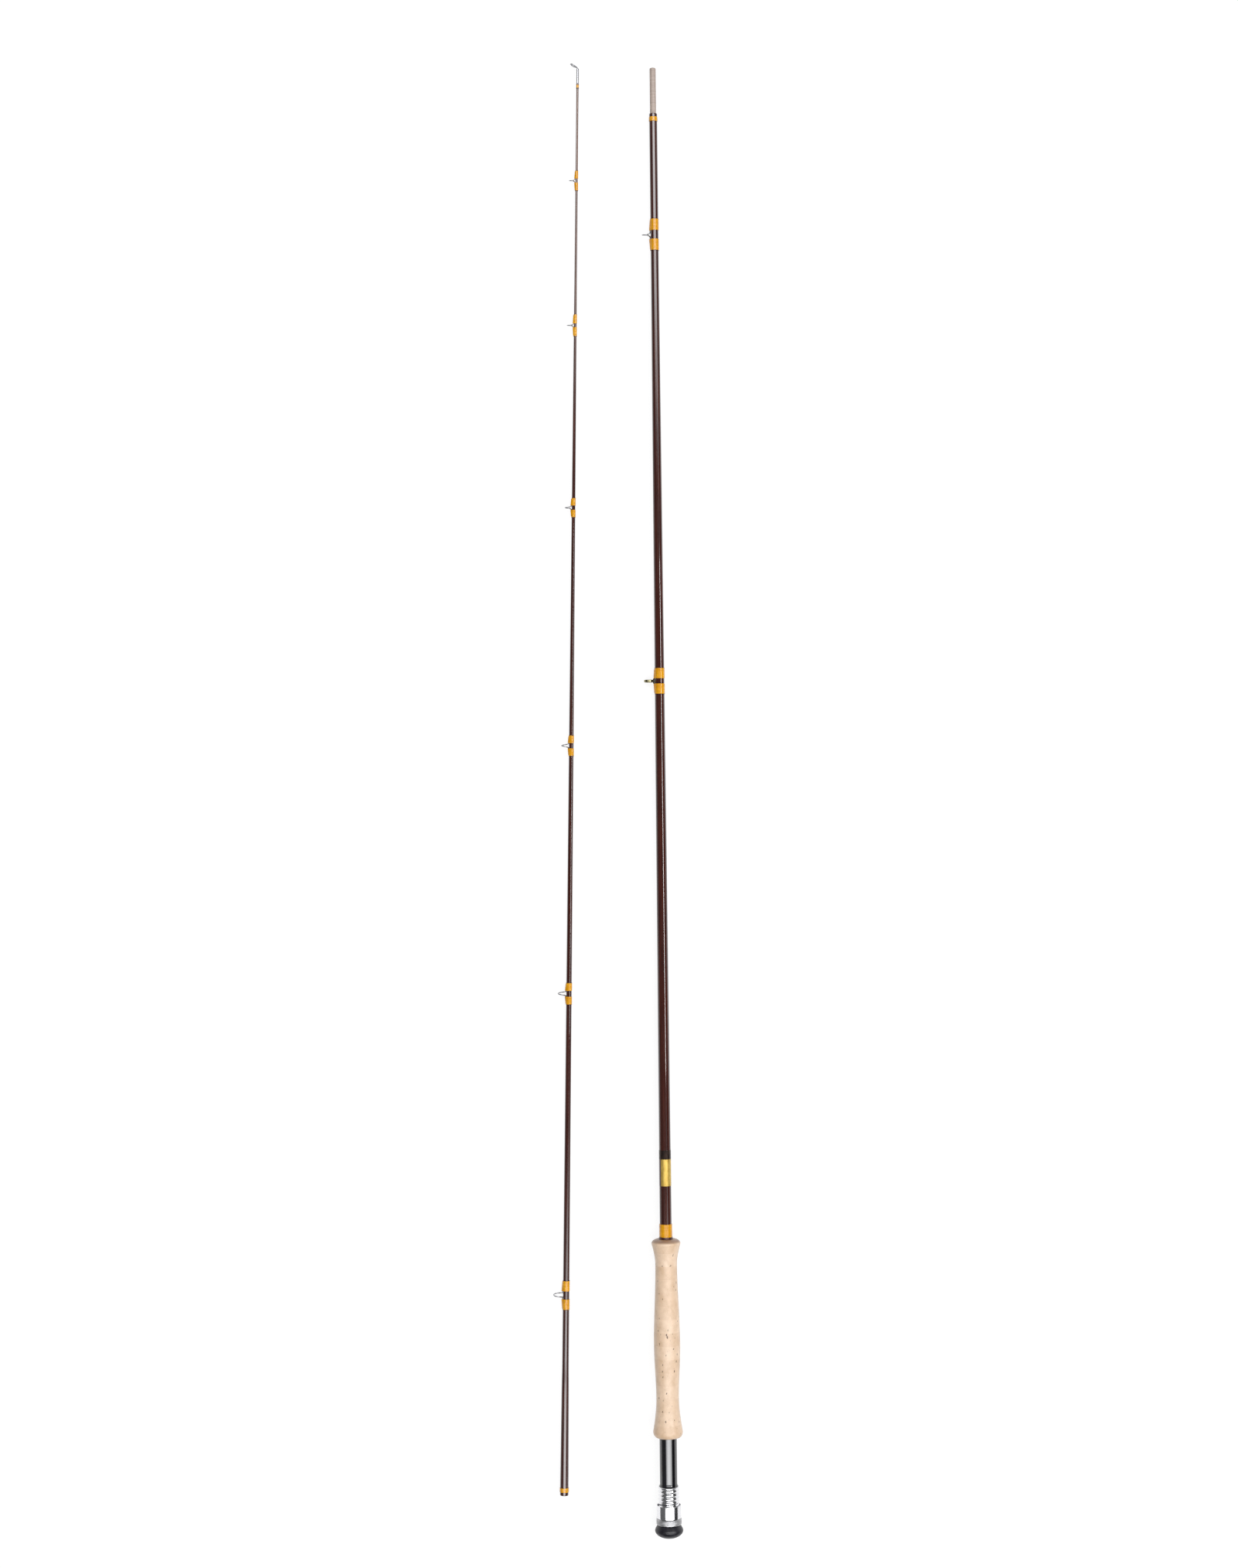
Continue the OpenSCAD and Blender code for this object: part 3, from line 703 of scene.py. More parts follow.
def makeTipTop():
    low, high = spanOf("tip_top_tube", "tip")
    bore = tipTop["bore"]
    wall = bore + tipTop["wall"]
    end = tipBlank["taper"][-1][0] + clear
    outline = [(bore, low, 0.05), (wall, low, 0.12), (wall, low + 0.8), (wall, high - 0.5)]
    outline += [(wall, high, 0.45), (0.0, high), (0.0, end), (bore, end)]
    turnedPiece("tipTopTube", outline, "tip", [wireSteel], ["tip_top_tube"], sides=48)
    half = tipTop["wire"] / 2
    ring = (tipTop["loop"] - tipTop["wire"]) / 2
    centre = ring + tipTop["stem"]
    lean = math.radians(tipTop["lean"])
    way = Vector((-math.sin(lean), math.cos(lean), 0))
    foot = Vector((0, high + half * 1.3, 0))
    # the wire leaves the tube as two legs, bends to the guides' side and opens into the loop
    bend = tipTop["bend"]
    mouth = math.pi - tipTop["opening"]
    entry = centre + ring * math.cos(mouth)
    legSteps = 16
    flat = []
    for i in range(legSteps):
        reach = mixed(-bend, entry, i / legSteps)
        flat.append((reach, mixed(-tipTop["legs"], -ring * math.sin(mouth), eased(reach / entry) ** 1.4)))
    for i in range(tipTop["loopSteps"] + 1):
        a = mouth - 2 * mouth * i / tipTop["loopSteps"]
        flat.append((centre + ring * math.cos(a), -ring * math.sin(a)))
    flat += [(reach, -z) for reach, z in reversed(flat[:legSteps])]
    below = foot - Vector((0, bend, 0))
    beyond = foot + way * bend

    def middleAt(reach):
        if reach >= bend:
            return foot + way * reach
        u = (reach / bend + 1) / 2
        return below.lerp(foot, u).lerp(foot.lerp(beyond, u), u)

    spots = [middleAt(reach) + Vector((0, 0, z)) for reach, z in flat]
    rings = []
    for i, spot in enumerate(spots):
        reach = flat[i][0]
        # middleAt reads this way as well, which draws one ring together at the loop's far end
        way = (spots[min(i + 1, len(spots) - 1)] - spots[max(i - 1, 0)]).normalized()
        leaning = middleAt(reach + 0.05) - middleAt(reach - 0.05)
        out = way.cross(leaning.cross(Vector((0, 0, 1))).normalized()).normalized()
        across = out.cross(way)
        ring = [spot + out * (half * math.cos(f)) + across * (half * math.sin(f))
                for f in turnsOf(wireLook["sides"])]
        rings.append(ring)
    points, faces = skinOver(rings)
    newPiece("tipTopLoop", points, faces, "tip", [wireSteel], ["tip_top_loop"])


makeTipTop()
print("wire guides and tip top made")


# The stripping guide is a hard ring in a dark frame.
def makeStrippingGuide():
    baseFinish = brightMetal("darkOxideBase", (0.05, 0.045, 0.035, 1), (0.16, 0.13, 0.09, 1), 0.25, 0.42)
    bandFinish = brightMetal("oliveOxideBand", (0.34, 0.31, 0.18, 1), (0.22, 0.19, 0.1, 1), 0.24, 0.4)
    olive = [(0.3, tone(118, 108, 70)), (0.7, tone(196, 186, 150))]
    ringFinish = grainFinish("olivePolishedRing", (700, 300, 700), 4, olive, 0.01,
                             Roughness=0.12, Coat_Weight=0.6, Coat_Roughness=0.05)
    g = stripGuide
    middle = stripMiddle
    seat = buttRadius(middle - g["footEnd"]) + clear
    outer = g["ring"] / 2
    half = g["bandWide"] / 2

    def ringSkin(outline):
        ringX = -(seat + g["stand"] + outer)
        rings = []
        for r, y in softOutline(outline, True):
            rings.append([(x + ringX, y + middle, z) for x, y, z in ringAt(r, y, g["ringSides"])])
        return skinOver(rings, looped=True)

    inner = outer - g["band"]
    lower = [(inner, -half, 0.2), (outer, -half, 0.3)]
    upper = [(r, -y, corner) for r, y, corner in reversed(lower)]
    points, faces = ringSkin(lower + upper)
    # the base sweeps down into two feet
    rows = []
    steps = 44
    for i in range(steps + 1):
        y = mixed(-g["footEnd"], g["footEnd"], i / steps)
        away = abs(y)
        rise = eased(1 - (away - half * 0.8) / 2.6)
        taper = max(0, 1 - away / g["footEnd"])
        tall = mixed(mixed(footThin, g["foot"], min(1, taper * 1.4)), g["stand"] + g["band"], rise)
        wide = mixed(g["footWide"] / 2 * mixed(0.7, 1, min(1, taper * 3)), g["baseWide"] / 2, rise)
        ring = []
        for f in turnsOf(g["footSides"]):
            x = math.copysign(abs(math.cos(f)) ** 0.7, math.cos(f))
            z = math.copysign(abs(math.sin(f)) ** 0.7, math.sin(f))
            z *= wide * mixed(1, 0.75, max(0, x) * rise)
            ring.append((-(seat + tall / 2 + tall / 2 * x), middle + y, z))
        rows.append(ring)
    more, skins = skinOver(rows)
    start = len(points)
    picks = [1] * len(faces) + [0] * len(skins)
    faces += [tuple(i + start for i in f) for f in skins]
    newPiece("strippingFrame", points + more, faces, "butt", [baseFinish, bandFinish],
             ["stripping_frame"], None, picks)
    out = inner - clear / 2
    hole = out - g["insert"]
    h = g["insertWide"] / 2
    lower = [(hole, -h * 0.5, 0.5), (hole + 0.12, -h * 0.85, 0.2), (out - 0.1, -h, 0.25), (out, -h + 0.2)]
    upper = [(r, -y, *corner) for r, y, *corner in reversed(lower)]
    points, faces = ringSkin(lower + upper)
    newPiece("strippingRing", points, faces, "butt", [ringFinish], ["stripping_ring"])


makeStrippingGuide()


# The label band is bare. Its gold panel spans part of the way round, in degrees from the top.
labelLook = {
    "gold": tone(208, 176, 84),
    "goldDeep": tone(180, 144, 54),
    "dark": tone(22, 10, 8),
    "darkWorn": tone(70, 48, 34),
    "darkShare": 0.25,
    "panelFrom": -46,
    "panelTo": 150,
    "thick": 0.14,
    "sides": 96,
}


def makeLabel():
    low, high = spanOf("label_band", "butt")
    golds = [(0.32, labelLook["goldDeep"]), (0.6, labelLook["gold"])]
    gold = grainFinish("agedGoldFoil", (300, 160, 300), 5, golds, 0.01, rough=0.7,
                       Metallic=0.5, Roughness=0.42, Coat_Weight=0.6, Coat_Roughness=0.1)
    darks = [(0.4, labelLook["dark"]), (0.85, labelLook["darkWorn"])]
    dark = grainFinish("agedBlackFoil", (400, 200, 400), 5, darks, 0.01, rough=0.7,
                       Roughness=0.5, Specular_IOR_Level=0.1, Coat_Weight=0.8, Coat_Roughness=0.08)
    split = mixed(high, low, labelLook["darkShare"])
    ys = sorted([low, split, high] + [mixed(low, high, i / 12) for i in range(1, 12) if i != 9])
    outline = [(buttRadius(low) + clear, low)]
    outline += [(buttRadius(y) + labelLook["thick"], y) for y in ys]
    outline.append((buttRadius(high) + clear, high))
    sides = labelLook["sides"]

    # the gold panel doesn't go all the way round; the black end does
    def pick(y, face):
        if y > split:
            return 1
        turn = (min(face) % sides / sides * 360 + 180) % 360 - 180
        return 0 if labelLook["panelFrom"] < turn < labelLook["panelTo"] else 2

    finishes = [gold, dark, buttBlankFinish]
    turnedPiece("bareLabel", outline, "butt", finishes, ["label_band"], sides=sides, pick=pick)


makeLabel()


checkRing = {
    "dark": tone(40, 12, 8),
    "worn": tone(92, 34, 20),
    "wall": (1.03, 1.05, 0.75, 0.8),      # from the grip forwards
}


def makeWindingCheck():
    browns = [(0.35, checkRing["dark"]), (0.75, checkRing["worn"])]
    finish = grainFinish("darkBrownCheck", (300, 900, 300), 4, browns, 0.02, dull=(0.2, 0.45),
                         Coat_Weight=0.6, Coat_Roughness=0.08)
    low, high = spanOf("winding_check", "butt")
    inner = buttRadius(low) + clear
    rear, rim, step, front = [inner + wall for wall in checkRing["wall"]]
    outline = [(inner, low), (rear, low, 0.2), (rim, mixed(low, high, 0.4), 0.3)]
    outline += [(step, mixed(low, high, 0.55), 0.2), (front, high, 0.35), (inner - 0.01, high)]
    turnedPiece("windingCheck", outline, "butt", [finish], ["winding_check"])


makeWindingCheck()
print("stripping guide, label and check made")


# The grip is fifteen cork rings. Its shape goes from the rounded rear end (flare, round) by the
# waist, the swell and the neck to the front rim and its rounded face.
cork = {
    "rings": 15,
    "length": 189.0,
    "flare": 14.18,
    "round": 5.4,
    "roundLow": 10.5,
    "waist": 10.8,
    "waistAt": 37.0,
    "swell": 12.55,
    "swellFrom": 101.0,      # the swell, neck and face are measured from the front end
    "neck": 10.4,
    "neckFrom": 24.5,
    "rim": 13.9,
    "face": 4.3,
    "faceLow": 7.0,
    "sides": 144,
    "rows": 24,
    "seam": 0.06,
    "boreSeat": 8.22,
    "recess": 11.72,
    "recessHalf": 42.6,      # half its spread round the grip, in degrees
    "recessOut": 11.52,
    "recessIn": 7.4,
    "pitDepth": 0.3,
    "pitWide": 2.0,
    "pitLong": 4.6,
    "pitRare": 0.66,
    "pitSmall": 0.14,
    "pitLarge": 0.4,
    "tones": [(220, 192, 164), (217, 188, 159), (223, 196, 169)],
    "speck": tone(150, 108, 74),
    "pit": tone(78, 44, 24),
    # the painted shade laid on the grip's forward-facing front face
    "paintedFaceShade": tone(140, 102, 76),
}


def corkFinish(name, colour):
    finish, shader = newFinish(name, Specular_IOR_Level=0.2, Coat_Weight=1.0,
                               Coat_Roughness=0.36, Coat_IOR=1.55)
    pale = tone(*[min(255, c + 8) for c in colour])
    dusky = tone(colour[0] - 12, colour[1] - 15, colour[2] - 19)
    clouds = noiseAt(finish, (160, 110, 160), detail=5, rough=0.65)
    base = rampOf(finish, clouds, [(0.3, dusky), (0.52, tone(*colour)), (0.72, pale)])
    grain = noiseAt(finish, (1300, 600, 1300), detail=4, rough=0.7)
    lines = noiseAt(finish, (500, 2600, 500), detail=2)
    # where the surface faces forward along the grip, painted shade darkens it
    forwardShadeMask = axesOf(finish, "Normal")["Y"]
    pits = addNode(finish, "Attribute", attribute_name="pit").outputs["Fac"]
    # what each layer follows, how strong it gets, from where to where it rises, its colour
    layers = (
        (grain, 0.75, 0.62, 0.8, "speck"),
        (lines, 0.5, 0.68, 0.8, "speck"),
        (forwardShadeMask, 0.85, 0.25, 0.8, "paintedFaceShade"),      # painted shade: the front face, turned away from the overhead light, is darkened
        (pits, 0.9, 0.05, 0.7, "pit"),
    )
    for layer, most, start, full, shade in layers:
        base = blended(finish, scaled(finish, layer, 0, most, start, full), base, cork[shade])
    setLook(finish, shader, base, scaled(finish, grain, 0.55, 0.75))
    addBump(finish, shader, grain, 0.06, 0.8)
    return finish


corkFinishes = [corkFinish("corkShade" + str(i + 1), c) for i, c in enumerate(cork["tones"])]


# From a to b: steep at first and level at the end.
def bow(a, b, u):
    return b + (a - b) * (1 - math.sin(math.pi / 2 * u))


# From a to b, level at both ends.
def wave(a, b, u):
    return a + (b - a) * (1 - math.cos(math.pi * u)) / 2


# A quarter round from low up to high, where u goes from 1 at its foot to 0 at its top.
def quarter(low, high, u):
    return low + (high - low) * math.sqrt(max(0, 1 - u ** 2))


def corkRadius(y):
    c = cork
    rim = c["length"] - c["face"]
    neck = c["length"] - c["neckFrom"]
    swell = c["length"] - c["swellFrom"]
    if y < c["round"]:
        return quarter(c["roundLow"], c["flare"], (c["round"] - y) / c["round"])
    if y < c["waistAt"]:
        return bow(c["flare"], c["waist"], (y - c["round"]) / (c["waistAt"] - c["round"]))
    if y < swell:
        return wave(c["waist"], c["swell"], (y - c["waistAt"]) / (swell - c["waistAt"]))
    if y < neck:
        return wave(c["swell"], c["neck"], (y - swell) / (neck - swell))
    if y < rim:
        return bow(c["rim"], c["neck"], (rim - y) / (rim - neck))
    return quarter(c["faceLow"], c["rim"], (y - rim) / c["face"])


# How deep a pit is here, 0 to 1.
def corkPit(x, y, z, ring):
    c = cork
    spot = Vector((x / c["pitWide"], y / c["pitLong"] + ring * 31.7, z / c["pitWide"]))
    near, centres = noise.voronoi(spot)
    chance = noise.cell(centres[0] * 13.7)
    if chance < c["pitRare"]:
        return 0.0
    size = mixed(c["pitSmall"], c["pitLarge"], (chance - c["pitRare"]) / (1 - c["pitRare"]))
    ragged = 0.35 * noise.noise(spot * 5)
    return max(0.0, min(1.0, 1.6 * (1 - near[0] / size + ragged)))


def makeCorkRing(i, low):
    c = cork
    thick = c["length"] / c["rings"]
    start = low + (i - 1) * thick
    first = i == 1
    last = i == c["rings"]
    rows = c["rows"] * 2 if first or last else c["rows"]
    outer = []
    depths = []
    for k in range(rows + 1):
        t = k / rows
        if first:
            t = t ** 1.6
        if last:
            t = 1 - (1 - t) ** 1.6
        y = (i - 1) * thick + thick * t
        r = corkRadius(y)
        edge = min(t, 1 - t) * thick
        if edge < 0.3 and not (first and t < 0.5) and not (last and t > 0.5):
            r -= c["seam"] * (1 - edge / 0.3)
        ring = []
        for x, along, z in ringAt(r, low + y, c["sides"]):
            pit = corkPit(x, y, z, i) * min(1, edge / 0.25 + 0.2)
            depths.append(pit)
            inset = 1 - pit * c["pitDepth"] / r
            ring.append((x * inset, along, z * inset))
        outer.append(ring)
    bores = []
    for y in (start + thick, start):
        bores.append(ringAt(c["boreSeat"] if first else buttRadius(y) + clear, y, c["sides"]))
    points, faces = skinOver(outer + bores, looped=True)
    finish = corkFinishes[(i * 7 + i // 4) % 3]
    node = f"cork_ring_{i}"
    piece = newPiece(f"corkRing{i}", points, faces, "butt", [finish], [node], crease=50)
    shade = piece.data.attributes.new("pit", "FLOAT", "POINT")
    shade.data.foreach_set("value", depths + [0.0] * (2 * c["sides"]))
    if first:
        cutRecess(piece, low)


# The recess on the guides' side that takes one end of the reel's foot.
def cutRecess(piece, low):
    c = cork
    half = math.radians(c["recessHalf"])
    steps = 32
    row = steps + 1
    turns = [1.5 * math.pi - half + 2 * half * k / steps for k in range(row)]
    ends = (low - 1, low + c["recess"])
    corners = [(c["recessIn"], ends[0]), (c["recessOut"], ends[0])]
    corners += [(c["recessOut"], ends[1]), (c["recessIn"], ends[1])]
    rings = [[around(r, y, a) for a in turns] for r, y in corners]
    points = [places["butt"] @ (Vector(p) * mm) for ring in rings for p in ring]
    faces = []
    for corner, k in product(range(4), range(steps)):
        a = corner * row + k
        b = (corner + 1) % 4 * row + k
        faces.append((a, a + 1, b + 1, b))
    faces += [(0, row, 2 * row, 3 * row), (4 * row - 1, 3 * row - 1, 2 * row - 1, row - 1)]
    mesh = bpy.data.meshes.new("recessCutter")
    mesh.from_pydata(points, [], faces)
    mesh.validate()
    cutter = bpy.data.objects.new("recessCutter", mesh)
    bpy.context.scene.collection.objects.link(cutter)
    bpy.context.view_layer.update()
    cut = piece.modifiers.new("recess", "BOOLEAN")
    cut.operation = "DIFFERENCE"
    cut.solver = "EXACT"
    cut.object = cutter
    graph = bpy.context.evaluated_depsgraph_get()
    done = bpy.data.meshes.new_from_object(piece.evaluated_get(graph))
    piece.modifiers.clear()
    piece.data = done
    bpy.data.objects.remove(cutter)


corkLow = spanOf("cork_ring_2", "butt")[0] - cork["length"] / cork["rings"]
for i in range(1, cork["rings"] + 1):
    makeCorkRing(i, corkLow)
print("cork grip made")


# The reel seat. Radii and lengths are in millimetres.
seat = {
    "barrel": 8.4,
    "barrelBore": 7.45,
    "tucked": 8.2,
    "collar": 9.3,
    "collarLength": 2.2,
    "crest": 9.9,
    "threadDepth": 0.65,
    "pitch": 3.6,
    "sleeveBore": 8.42,
    "run": 9.98,           # bore of the ring and the hood, over the thread's crest
    "hood": 11.7,
    "hoodWall": 0.7,
    "hoodFloor": 1.6,
    "ring": 12.0,
    "knurls": 84,
    "knurlDepth": 0.16,
    "capRadius": 13.5,
    "capTop": 11.2,
    "dome": 7.7,
    "capHeight": 13.0,
}
capLow, capHigh = spanOf("butt_cap", "butt")
sleeveLow, sleeveHigh = spanOf("thread_sleeve", "butt")


def makeBarrel():
    finish, shader = newFinish("blackGlossBarrel", Specular_IOR_Level=0.2, Coat_Weight=1.0,
                               Coat_Roughness=0.05, Coat_IOR=1.75)
    rub = noiseAt(finish, (240, 60, 240), detail=4)
    fine = noiseAt(finish, (2200, 300, 2200), detail=3)
    blacks = [(0.35, (0.0012, 0.0011, 0.002, 1)), (0.8, (0.006, 0.0055, 0.008, 1))]
    setLook(finish, shader, rampOf(finish, rub, blacks), scaled(finish, fine, 0.12, 0.25))
    addBump(finish, shader, fine, 0.003)
    low, high = spanOf("seat_barrel", "butt")
    s = seat
    r = s["barrel"]
    collarHigh = sleeveHigh + s["collarLength"]
    outline = [(s["barrelBore"], low), (r, low), (r, sleeveHigh - 0.3)]
    outline += [(s["collar"] - 0.1, sleeveHigh + clear, 0.15), (s["collar"], sleeveHigh + 0.5, 0.3)]
    outline += [(r + 0.25, collarHigh - 0.7, 0.6), (r, collarHigh + 0.3, 0.6)]
    outline += [(r, mixed(sleeveHigh + 4, corkLow - 1, i / 10)) for i in range(11)]
    outline += [(r, corkLow), (s["tucked"], corkLow), (s["tucked"], high, 0.2), (s["barrelBore"], high)]
    turnedPiece("seatBarrel", outline, "butt", [finish], ["seat_barrel"], sides=128)


chrome = brightMetal("polishedSeatMetal", (0.84, 0.84, 0.86, 1), (0.66, 0.66, 0.68, 1), 0.12, 0.22,
                     grain=(160, 700, 160))


# A true right-hand screw thread on the sleeve.
def makeThreadSleeve():
    s = seat
    rows = 200
    sides = 120
    rings = []
    for i in range(rows + 1):
        y = mixed(sleeveLow, sleeveHigh, i / rows)
        ends = min(1, max(0, (sleeveHigh - 0.8 - y) / 1.2), max(0, (y - sleeveLow - 0.4) / 1.2))
        top = s["crest"] - 0.45 * max(0, 1 - (sleeveHigh - y) / 0.45)
        ring = []
        for a in turnsOf(sides):
            phase = ((y - sleeveLow) / s["pitch"] - a / fullTurn) % 1.0
            groove = ((1 - math.cos(fullTurn * phase)) / 2) ** 1.3
            r = top - s["threadDepth"] * groove * ends
            ring.append(around(r, y, a))
        rings.append(ring)
    rings += [ringAt(s["sleeveBore"], sleeveHigh, sides), ringAt(s["sleeveBore"], sleeveLow, sides)]
    points, faces = skinOver(rings, looped=True)
    newPiece("threadSleeve", points, faces, "butt", [chrome], ["thread_sleeve"], crease=50)


def makeSlidingHood():
    low, high = spanOf("sliding_hood", "butt")
    r = seat["hood"]
    inner = r - seat["hoodWall"]
    floor = low + seat["hoodFloor"]
    outline = [(seat["run"], low, 0.1), (r, low, 0.35), (r, low + 0.9), (r, mixed(low, high, 0.5))]
    outline += [(r, high - 0.9), (r, high, 0.3), (inner, high, 0.3), (inner, floor + 0.8)]
    outline += [(inner - 0.5, floor, 0.4), (seat["run"], floor, 0.1)]
    turnedPiece("slidingHood", outline, "butt", [chrome], ["sliding_hood"],
                sides=144, body="sliding_hood")


def makeLockRing():
    s = seat
    matt = brightMetal("mattAluminium", (0.5, 0.5, 0.51, 1), (0.36, 0.36, 0.37, 1), 0.42, 0.55,
                       grain=(900, 900, 900), depth=0.02)
    low, high = spanOf("lock_ring", "butt")
    tooth = (0, 0.6, 1, 0.6)
    sides = s["knurls"] * len(tooth)
    # rows of (share of its height, radius beside the ring's), with a groove at each end of the knurls
    edge = [(0, -0.4), (0.06, -0.12), (0.12, 0), (0.18, 0), (0.22, -0.14), (0.26, 0), (0.36, 0)]
    profile = edge + [(0.5, 0)] + [(1 - t, drop) for t, drop in reversed(edge)]
    rings = []
    for t, drop in profile:
        y = mixed(low, high, t)
        cut = s["knurlDepth"] if 0.24 < t < 0.76 else 0
        ring = []
        for k, a in enumerate(turnsOf(sides)):
            r = s["ring"] + drop - cut * tooth[k % len(tooth)]
            ring.append(around(r, y, a))
        rings.append(ring)
    rings += [ringAt(s["run"], high, sides), ringAt(s["run"], low, sides)]
    points, faces = skinOver(rings, looped=True)
    newPiece("lockRing", points, faces, "butt", [matt], ["lock_ring"],
             body="lock_ring", crease=55)


def makeCap():
    finish, shader = newFinish("moulded_rubber", Specular_IOR_Level=0.5)
    bloom = noiseAt(finish, (120, 120, 120), detail=5, rough=0.65)
    fine = noiseAt(finish, (2600, 2600, 2600), detail=2)
    greys = [(0.35, tone(14, 14, 20)), (0.7, tone(36, 34, 42))]
    setLook(finish, shader, rampOf(finish, bloom, greys), scaled(finish, bloom, 0.28, 0.45))
    addBump(finish, shader, fine, 0.03, 0.6)
    s = seat
    plug = s["barrelBore"] - clear
    top = capLow + s["capHeight"]
    outline = []
    for i in range(25):
        a = math.pi / 2 * i / 24
        outline.append((s["capRadius"] * math.sin(a), capLow + s["dome"] * (1 - math.cos(a))))
    outline += [(s["capRadius"] - 0.35, capLow + s["dome"] + 1.4, 1.2)]
    outline += [(s["capTop"] + 0.2, top - 0.7, 0.6), (s["capTop"] - 0.5, top, 0.4)]
    outline += [(plug, top), (plug, capHigh, 0.4), (0, capHigh)]
    turnedPiece("rubberCap", outline, "butt", [finish], ["butt_cap"], solid=True, sides=128)


makeBarrel()
makeThreadSleeve()
makeSlidingHood()
makeLockRing()
makeCap()
print("reel seat made")


# The hood liner and the bushes keep their own shapes from the frame.
def finishInnerPieces():
    liner = brightMetal("satinHoodLiner", (0.72, 0.72, 0.73, 1), (0.55, 0.55, 0.56, 1), 0.2, 0.34,
                        grain=(500, 900, 500))
    browns = [(0.3, tone(150, 116, 78)), (0.7, tone(206, 176, 132))]
    bush = grainFinish("pressedFibreBush", (400, 1800, 400), 4, browns, 0.04, Roughness=0.8)
    for node, finish in (("fixed_hood", liner), ("seat_arbors", bush)):
        mesh = frame["nodes"][node].data
        mesh.materials.clear()
        mesh.materials.append(finish)


finishInnerPieces()


# The floor glows to the camera and in reflections, and keeps a share of the rod's shadow.
floorLook = {
    "half": 6.0,
    "glow": 0.88,
    "shadowShare": 0.16,
    "tones": [(0.3, (0.86, 0.86, 0.86, 1)), (0.7, (0.9, 0.9, 0.9, 1))],
    "below": 0.05,      # millimetres below the rod
}


# A mix of two shaders by a share from 0 to 1.
def shaderMix(owner, share, a, b):
    return addNode(owner, "MixShader", {0: share, 1: a.outputs[0], 2: b.outputs[0]})


def calc(owner, how, a, b=0.0):
    return addNode(owner, "Math", {0: a, 1: b}, operation=how).outputs[0]


def makeFloor():
    finish = bpy.data.materials.new("paleFloor")
    finish.use_nodes = True
    tree = finish.node_tree
    tree.nodes.clear()
    grain = noiseAt(finish, (30, 30, 30), detail=2)
    paper = addNode(finish, "BsdfDiffuse", {"Color": rampOf(finish, grain, floorLook["tones"])})
    strength = floorLook["glow"] / (1 - floorLook["shadowShare"])
    glow = addNode(finish, "Emission", {"Color": (1, 1, 1, 1), "Strength": strength})
    lit = shaderMix(finish, floorLook["shadowShare"], glow, paper)
    path = addNode(finish, "LightPath").outputs
    seen = calc(finish, "MAXIMUM", path["Is Camera Ray"], path["Is Glossy Ray"])
    seen = calc(finish, "MAXIMUM", seen, path["Is Transmission Ray"])
    both = shaderMix(finish, seen, paper, lit)
    join(finish, both.outputs[0], addNode(finish, "OutputMaterial").inputs["Surface"])
    h = floorLook["half"]
    mesh = bpy.data.meshes.new("floor")
    mesh.from_pydata([(-h, -h, 0), (h, -h, 0), (h, h, 0), (-h, h, 0)], [], [(0, 1, 2, 3)])
    mesh.materials.append(finish)
    floor = bpy.data.objects.new("floor", mesh)
    floor.location.z = cadBox[0].z - floorLook["below"] * mm
    bpy.context.scene.collection.objects.link(floor)


# The studio: a dim ceiling with a large soft box beyond each end of the rod. Box edges are slopes,
# sideways (boxLeft to boxRight) or lengthways (boxFrom to boxTo) distance over height.
studio = {
    "colour": (0.985, 0.99, 1.0, 1),
    "dim": 0.03,
    "ceiling": 0.06,
    "leftFill": 0.09,
    "box": 8.6,
    "boxFrom": 0.205,
    "boxSoft": 0.06,
    "boxTo": 0.48,
    "boxLeft": -0.62,
    "boxPeak": 0.05,
    "boxRight": 1.15,
    "boxEdge": 0.22,       # how bright the sides of a box are beside its middle
    "sideSoft": 0.1,
    "keyPower": 13.0,
    "keyWide": 0.2,
    "keyLong": 0.95,
    "keyAngle": 38.5,
    "keyAway": 2.3,
}


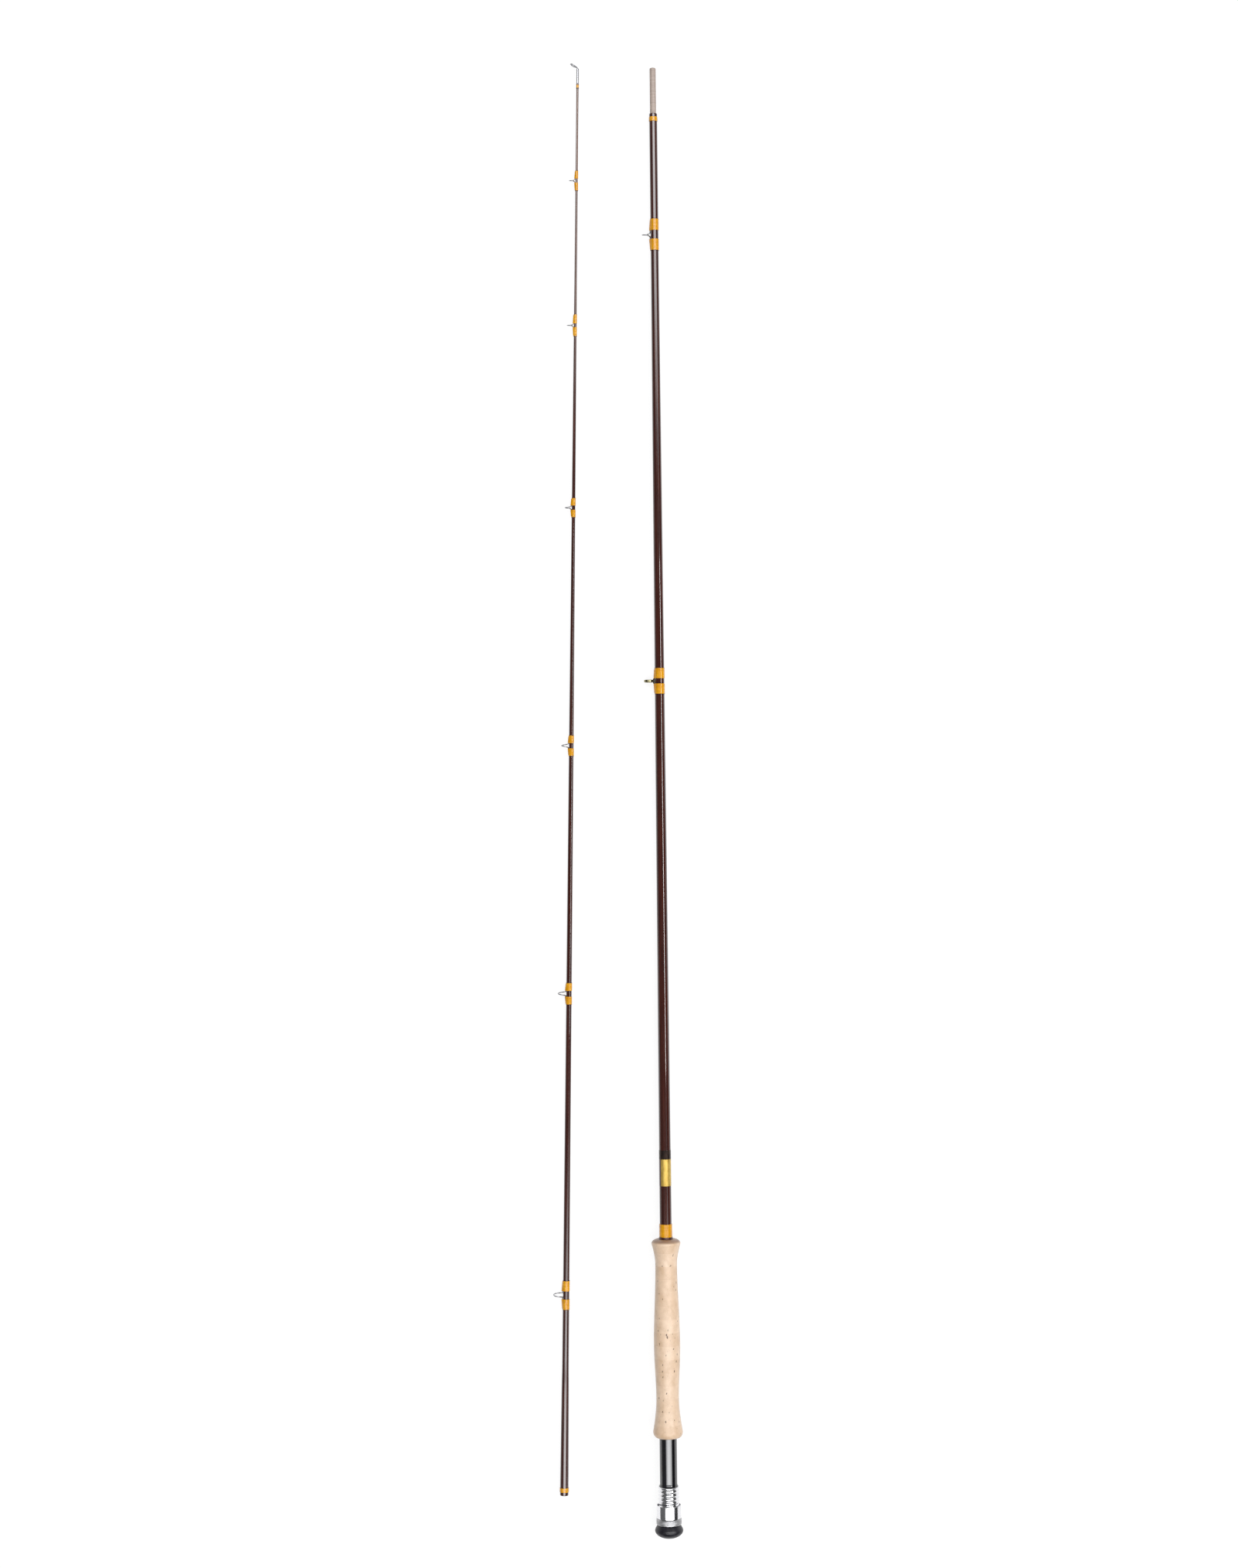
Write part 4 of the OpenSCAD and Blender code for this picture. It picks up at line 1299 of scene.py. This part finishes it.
def makeStudio():
    world = bpy.data.worlds.new("studio")
    bpy.context.scene.world = world
    world.use_nodes = True
    tree = world.node_tree
    tree.nodes.clear()
    s = studio
    way = axesOf(world, "Generated")
    height = calc(world, "MAXIMUM", way["Z"], 0.02)
    side = calc(world, "DIVIDE", way["X"], height)
    length = calc(world, "ABSOLUTE", calc(world, "DIVIDE", way["Y"], height))

    # 1 between two slopes and 0 beyond them, with soft edges
    def between(slope, low, high, soft):
        up = scaled(world, slope, 0, 1, low - soft, low + soft, interpolation_type="SMOOTHSTEP")
        down = scaled(world, slope, 0, 1, high - soft, high + soft, interpolation_type="SMOOTHSTEP")
        return calc(world, "MULTIPLY", up, calc(world, "SUBTRACT", 1.0, down))

    across = between(side, s["boxLeft"], s["boxRight"], s["sideSoft"])
    boxes = calc(world, "MULTIPLY", across, between(length, s["boxFrom"], s["boxTo"], s["boxSoft"]))
    # each box is brightest in its middle
    edge = s["boxEdge"] * s["box"]
    left = scaled(world, side, edge, s["box"], s["boxLeft"], s["boxPeak"])
    right = scaled(world, side, s["box"], edge, s["boxPeak"], s["boxRight"])
    boxes = calc(world, "MULTIPLY", boxes, calc(world, "MINIMUM", left, right))
    dome = scaled(world, way["Z"], s["dim"], s["ceiling"], 0.0, 0.9)
    fill = scaled(world, way["X"], 0, s["leftFill"], 0.0, -0.9)
    light = calc(world, "ADD", boxes, calc(world, "ADD", dome, fill))
    studioLight = addNode(world, "Background", {"Color": s["colour"], "Strength": light})
    white = addNode(world, "Background", {"Color": (1, 1, 1, 1), "Strength": 1.0})
    seen = addNode(world, "LightPath").outputs["Is Camera Ray"]
    both = shaderMix(world, seen, studioLight, white)
    join(world, both.outputs[0], addNode(world, "OutputWorld").inputs["Surface"])

    key = bpy.data.lights.new("keyLight", "AREA")
    key.shape = "RECTANGLE"
    key.size = s["keyWide"]
    key.size_y = s["keyLong"]
    key.energy = s["keyPower"]
    lamp = bpy.data.objects.new("keyLight", key)
    lean = math.radians(s["keyAngle"])
    lamp.location = (s["keyAway"] * math.sin(lean), 0, s["keyAway"] * math.cos(lean))
    lamp.rotation_euler = (0, lean, 0)
    lamp.visible_camera = False
    bpy.context.scene.collection.objects.link(lamp)


camera = {
    "lens": 58.6,
    "side": 0.0073,
    "ahead": 0.71986,
    "height": 2.4517,
    "turn": -0.6417,
}


def makeCamera():
    lens = bpy.data.cameras.new("camera")
    lens.lens = camera["lens"]
    lens.sensor_width = 36.0
    lens.clip_start = 0.05
    lens.clip_end = 30.0
    holder = bpy.data.objects.new("camera", lens)
    holder.location = (camera["side"], cadBox[0].y + camera["ahead"], camera["height"])
    holder.rotation_euler = (0, 0, math.radians(camera["turn"]))
    bpy.context.scene.collection.objects.link(holder)
    bpy.context.scene.camera = holder


makeFloor()
makeStudio()
makeCamera()
bpy.context.scene.view_settings.view_transform = "Standard"
print("floor, light and camera made")

bpy.context.view_layer.update()
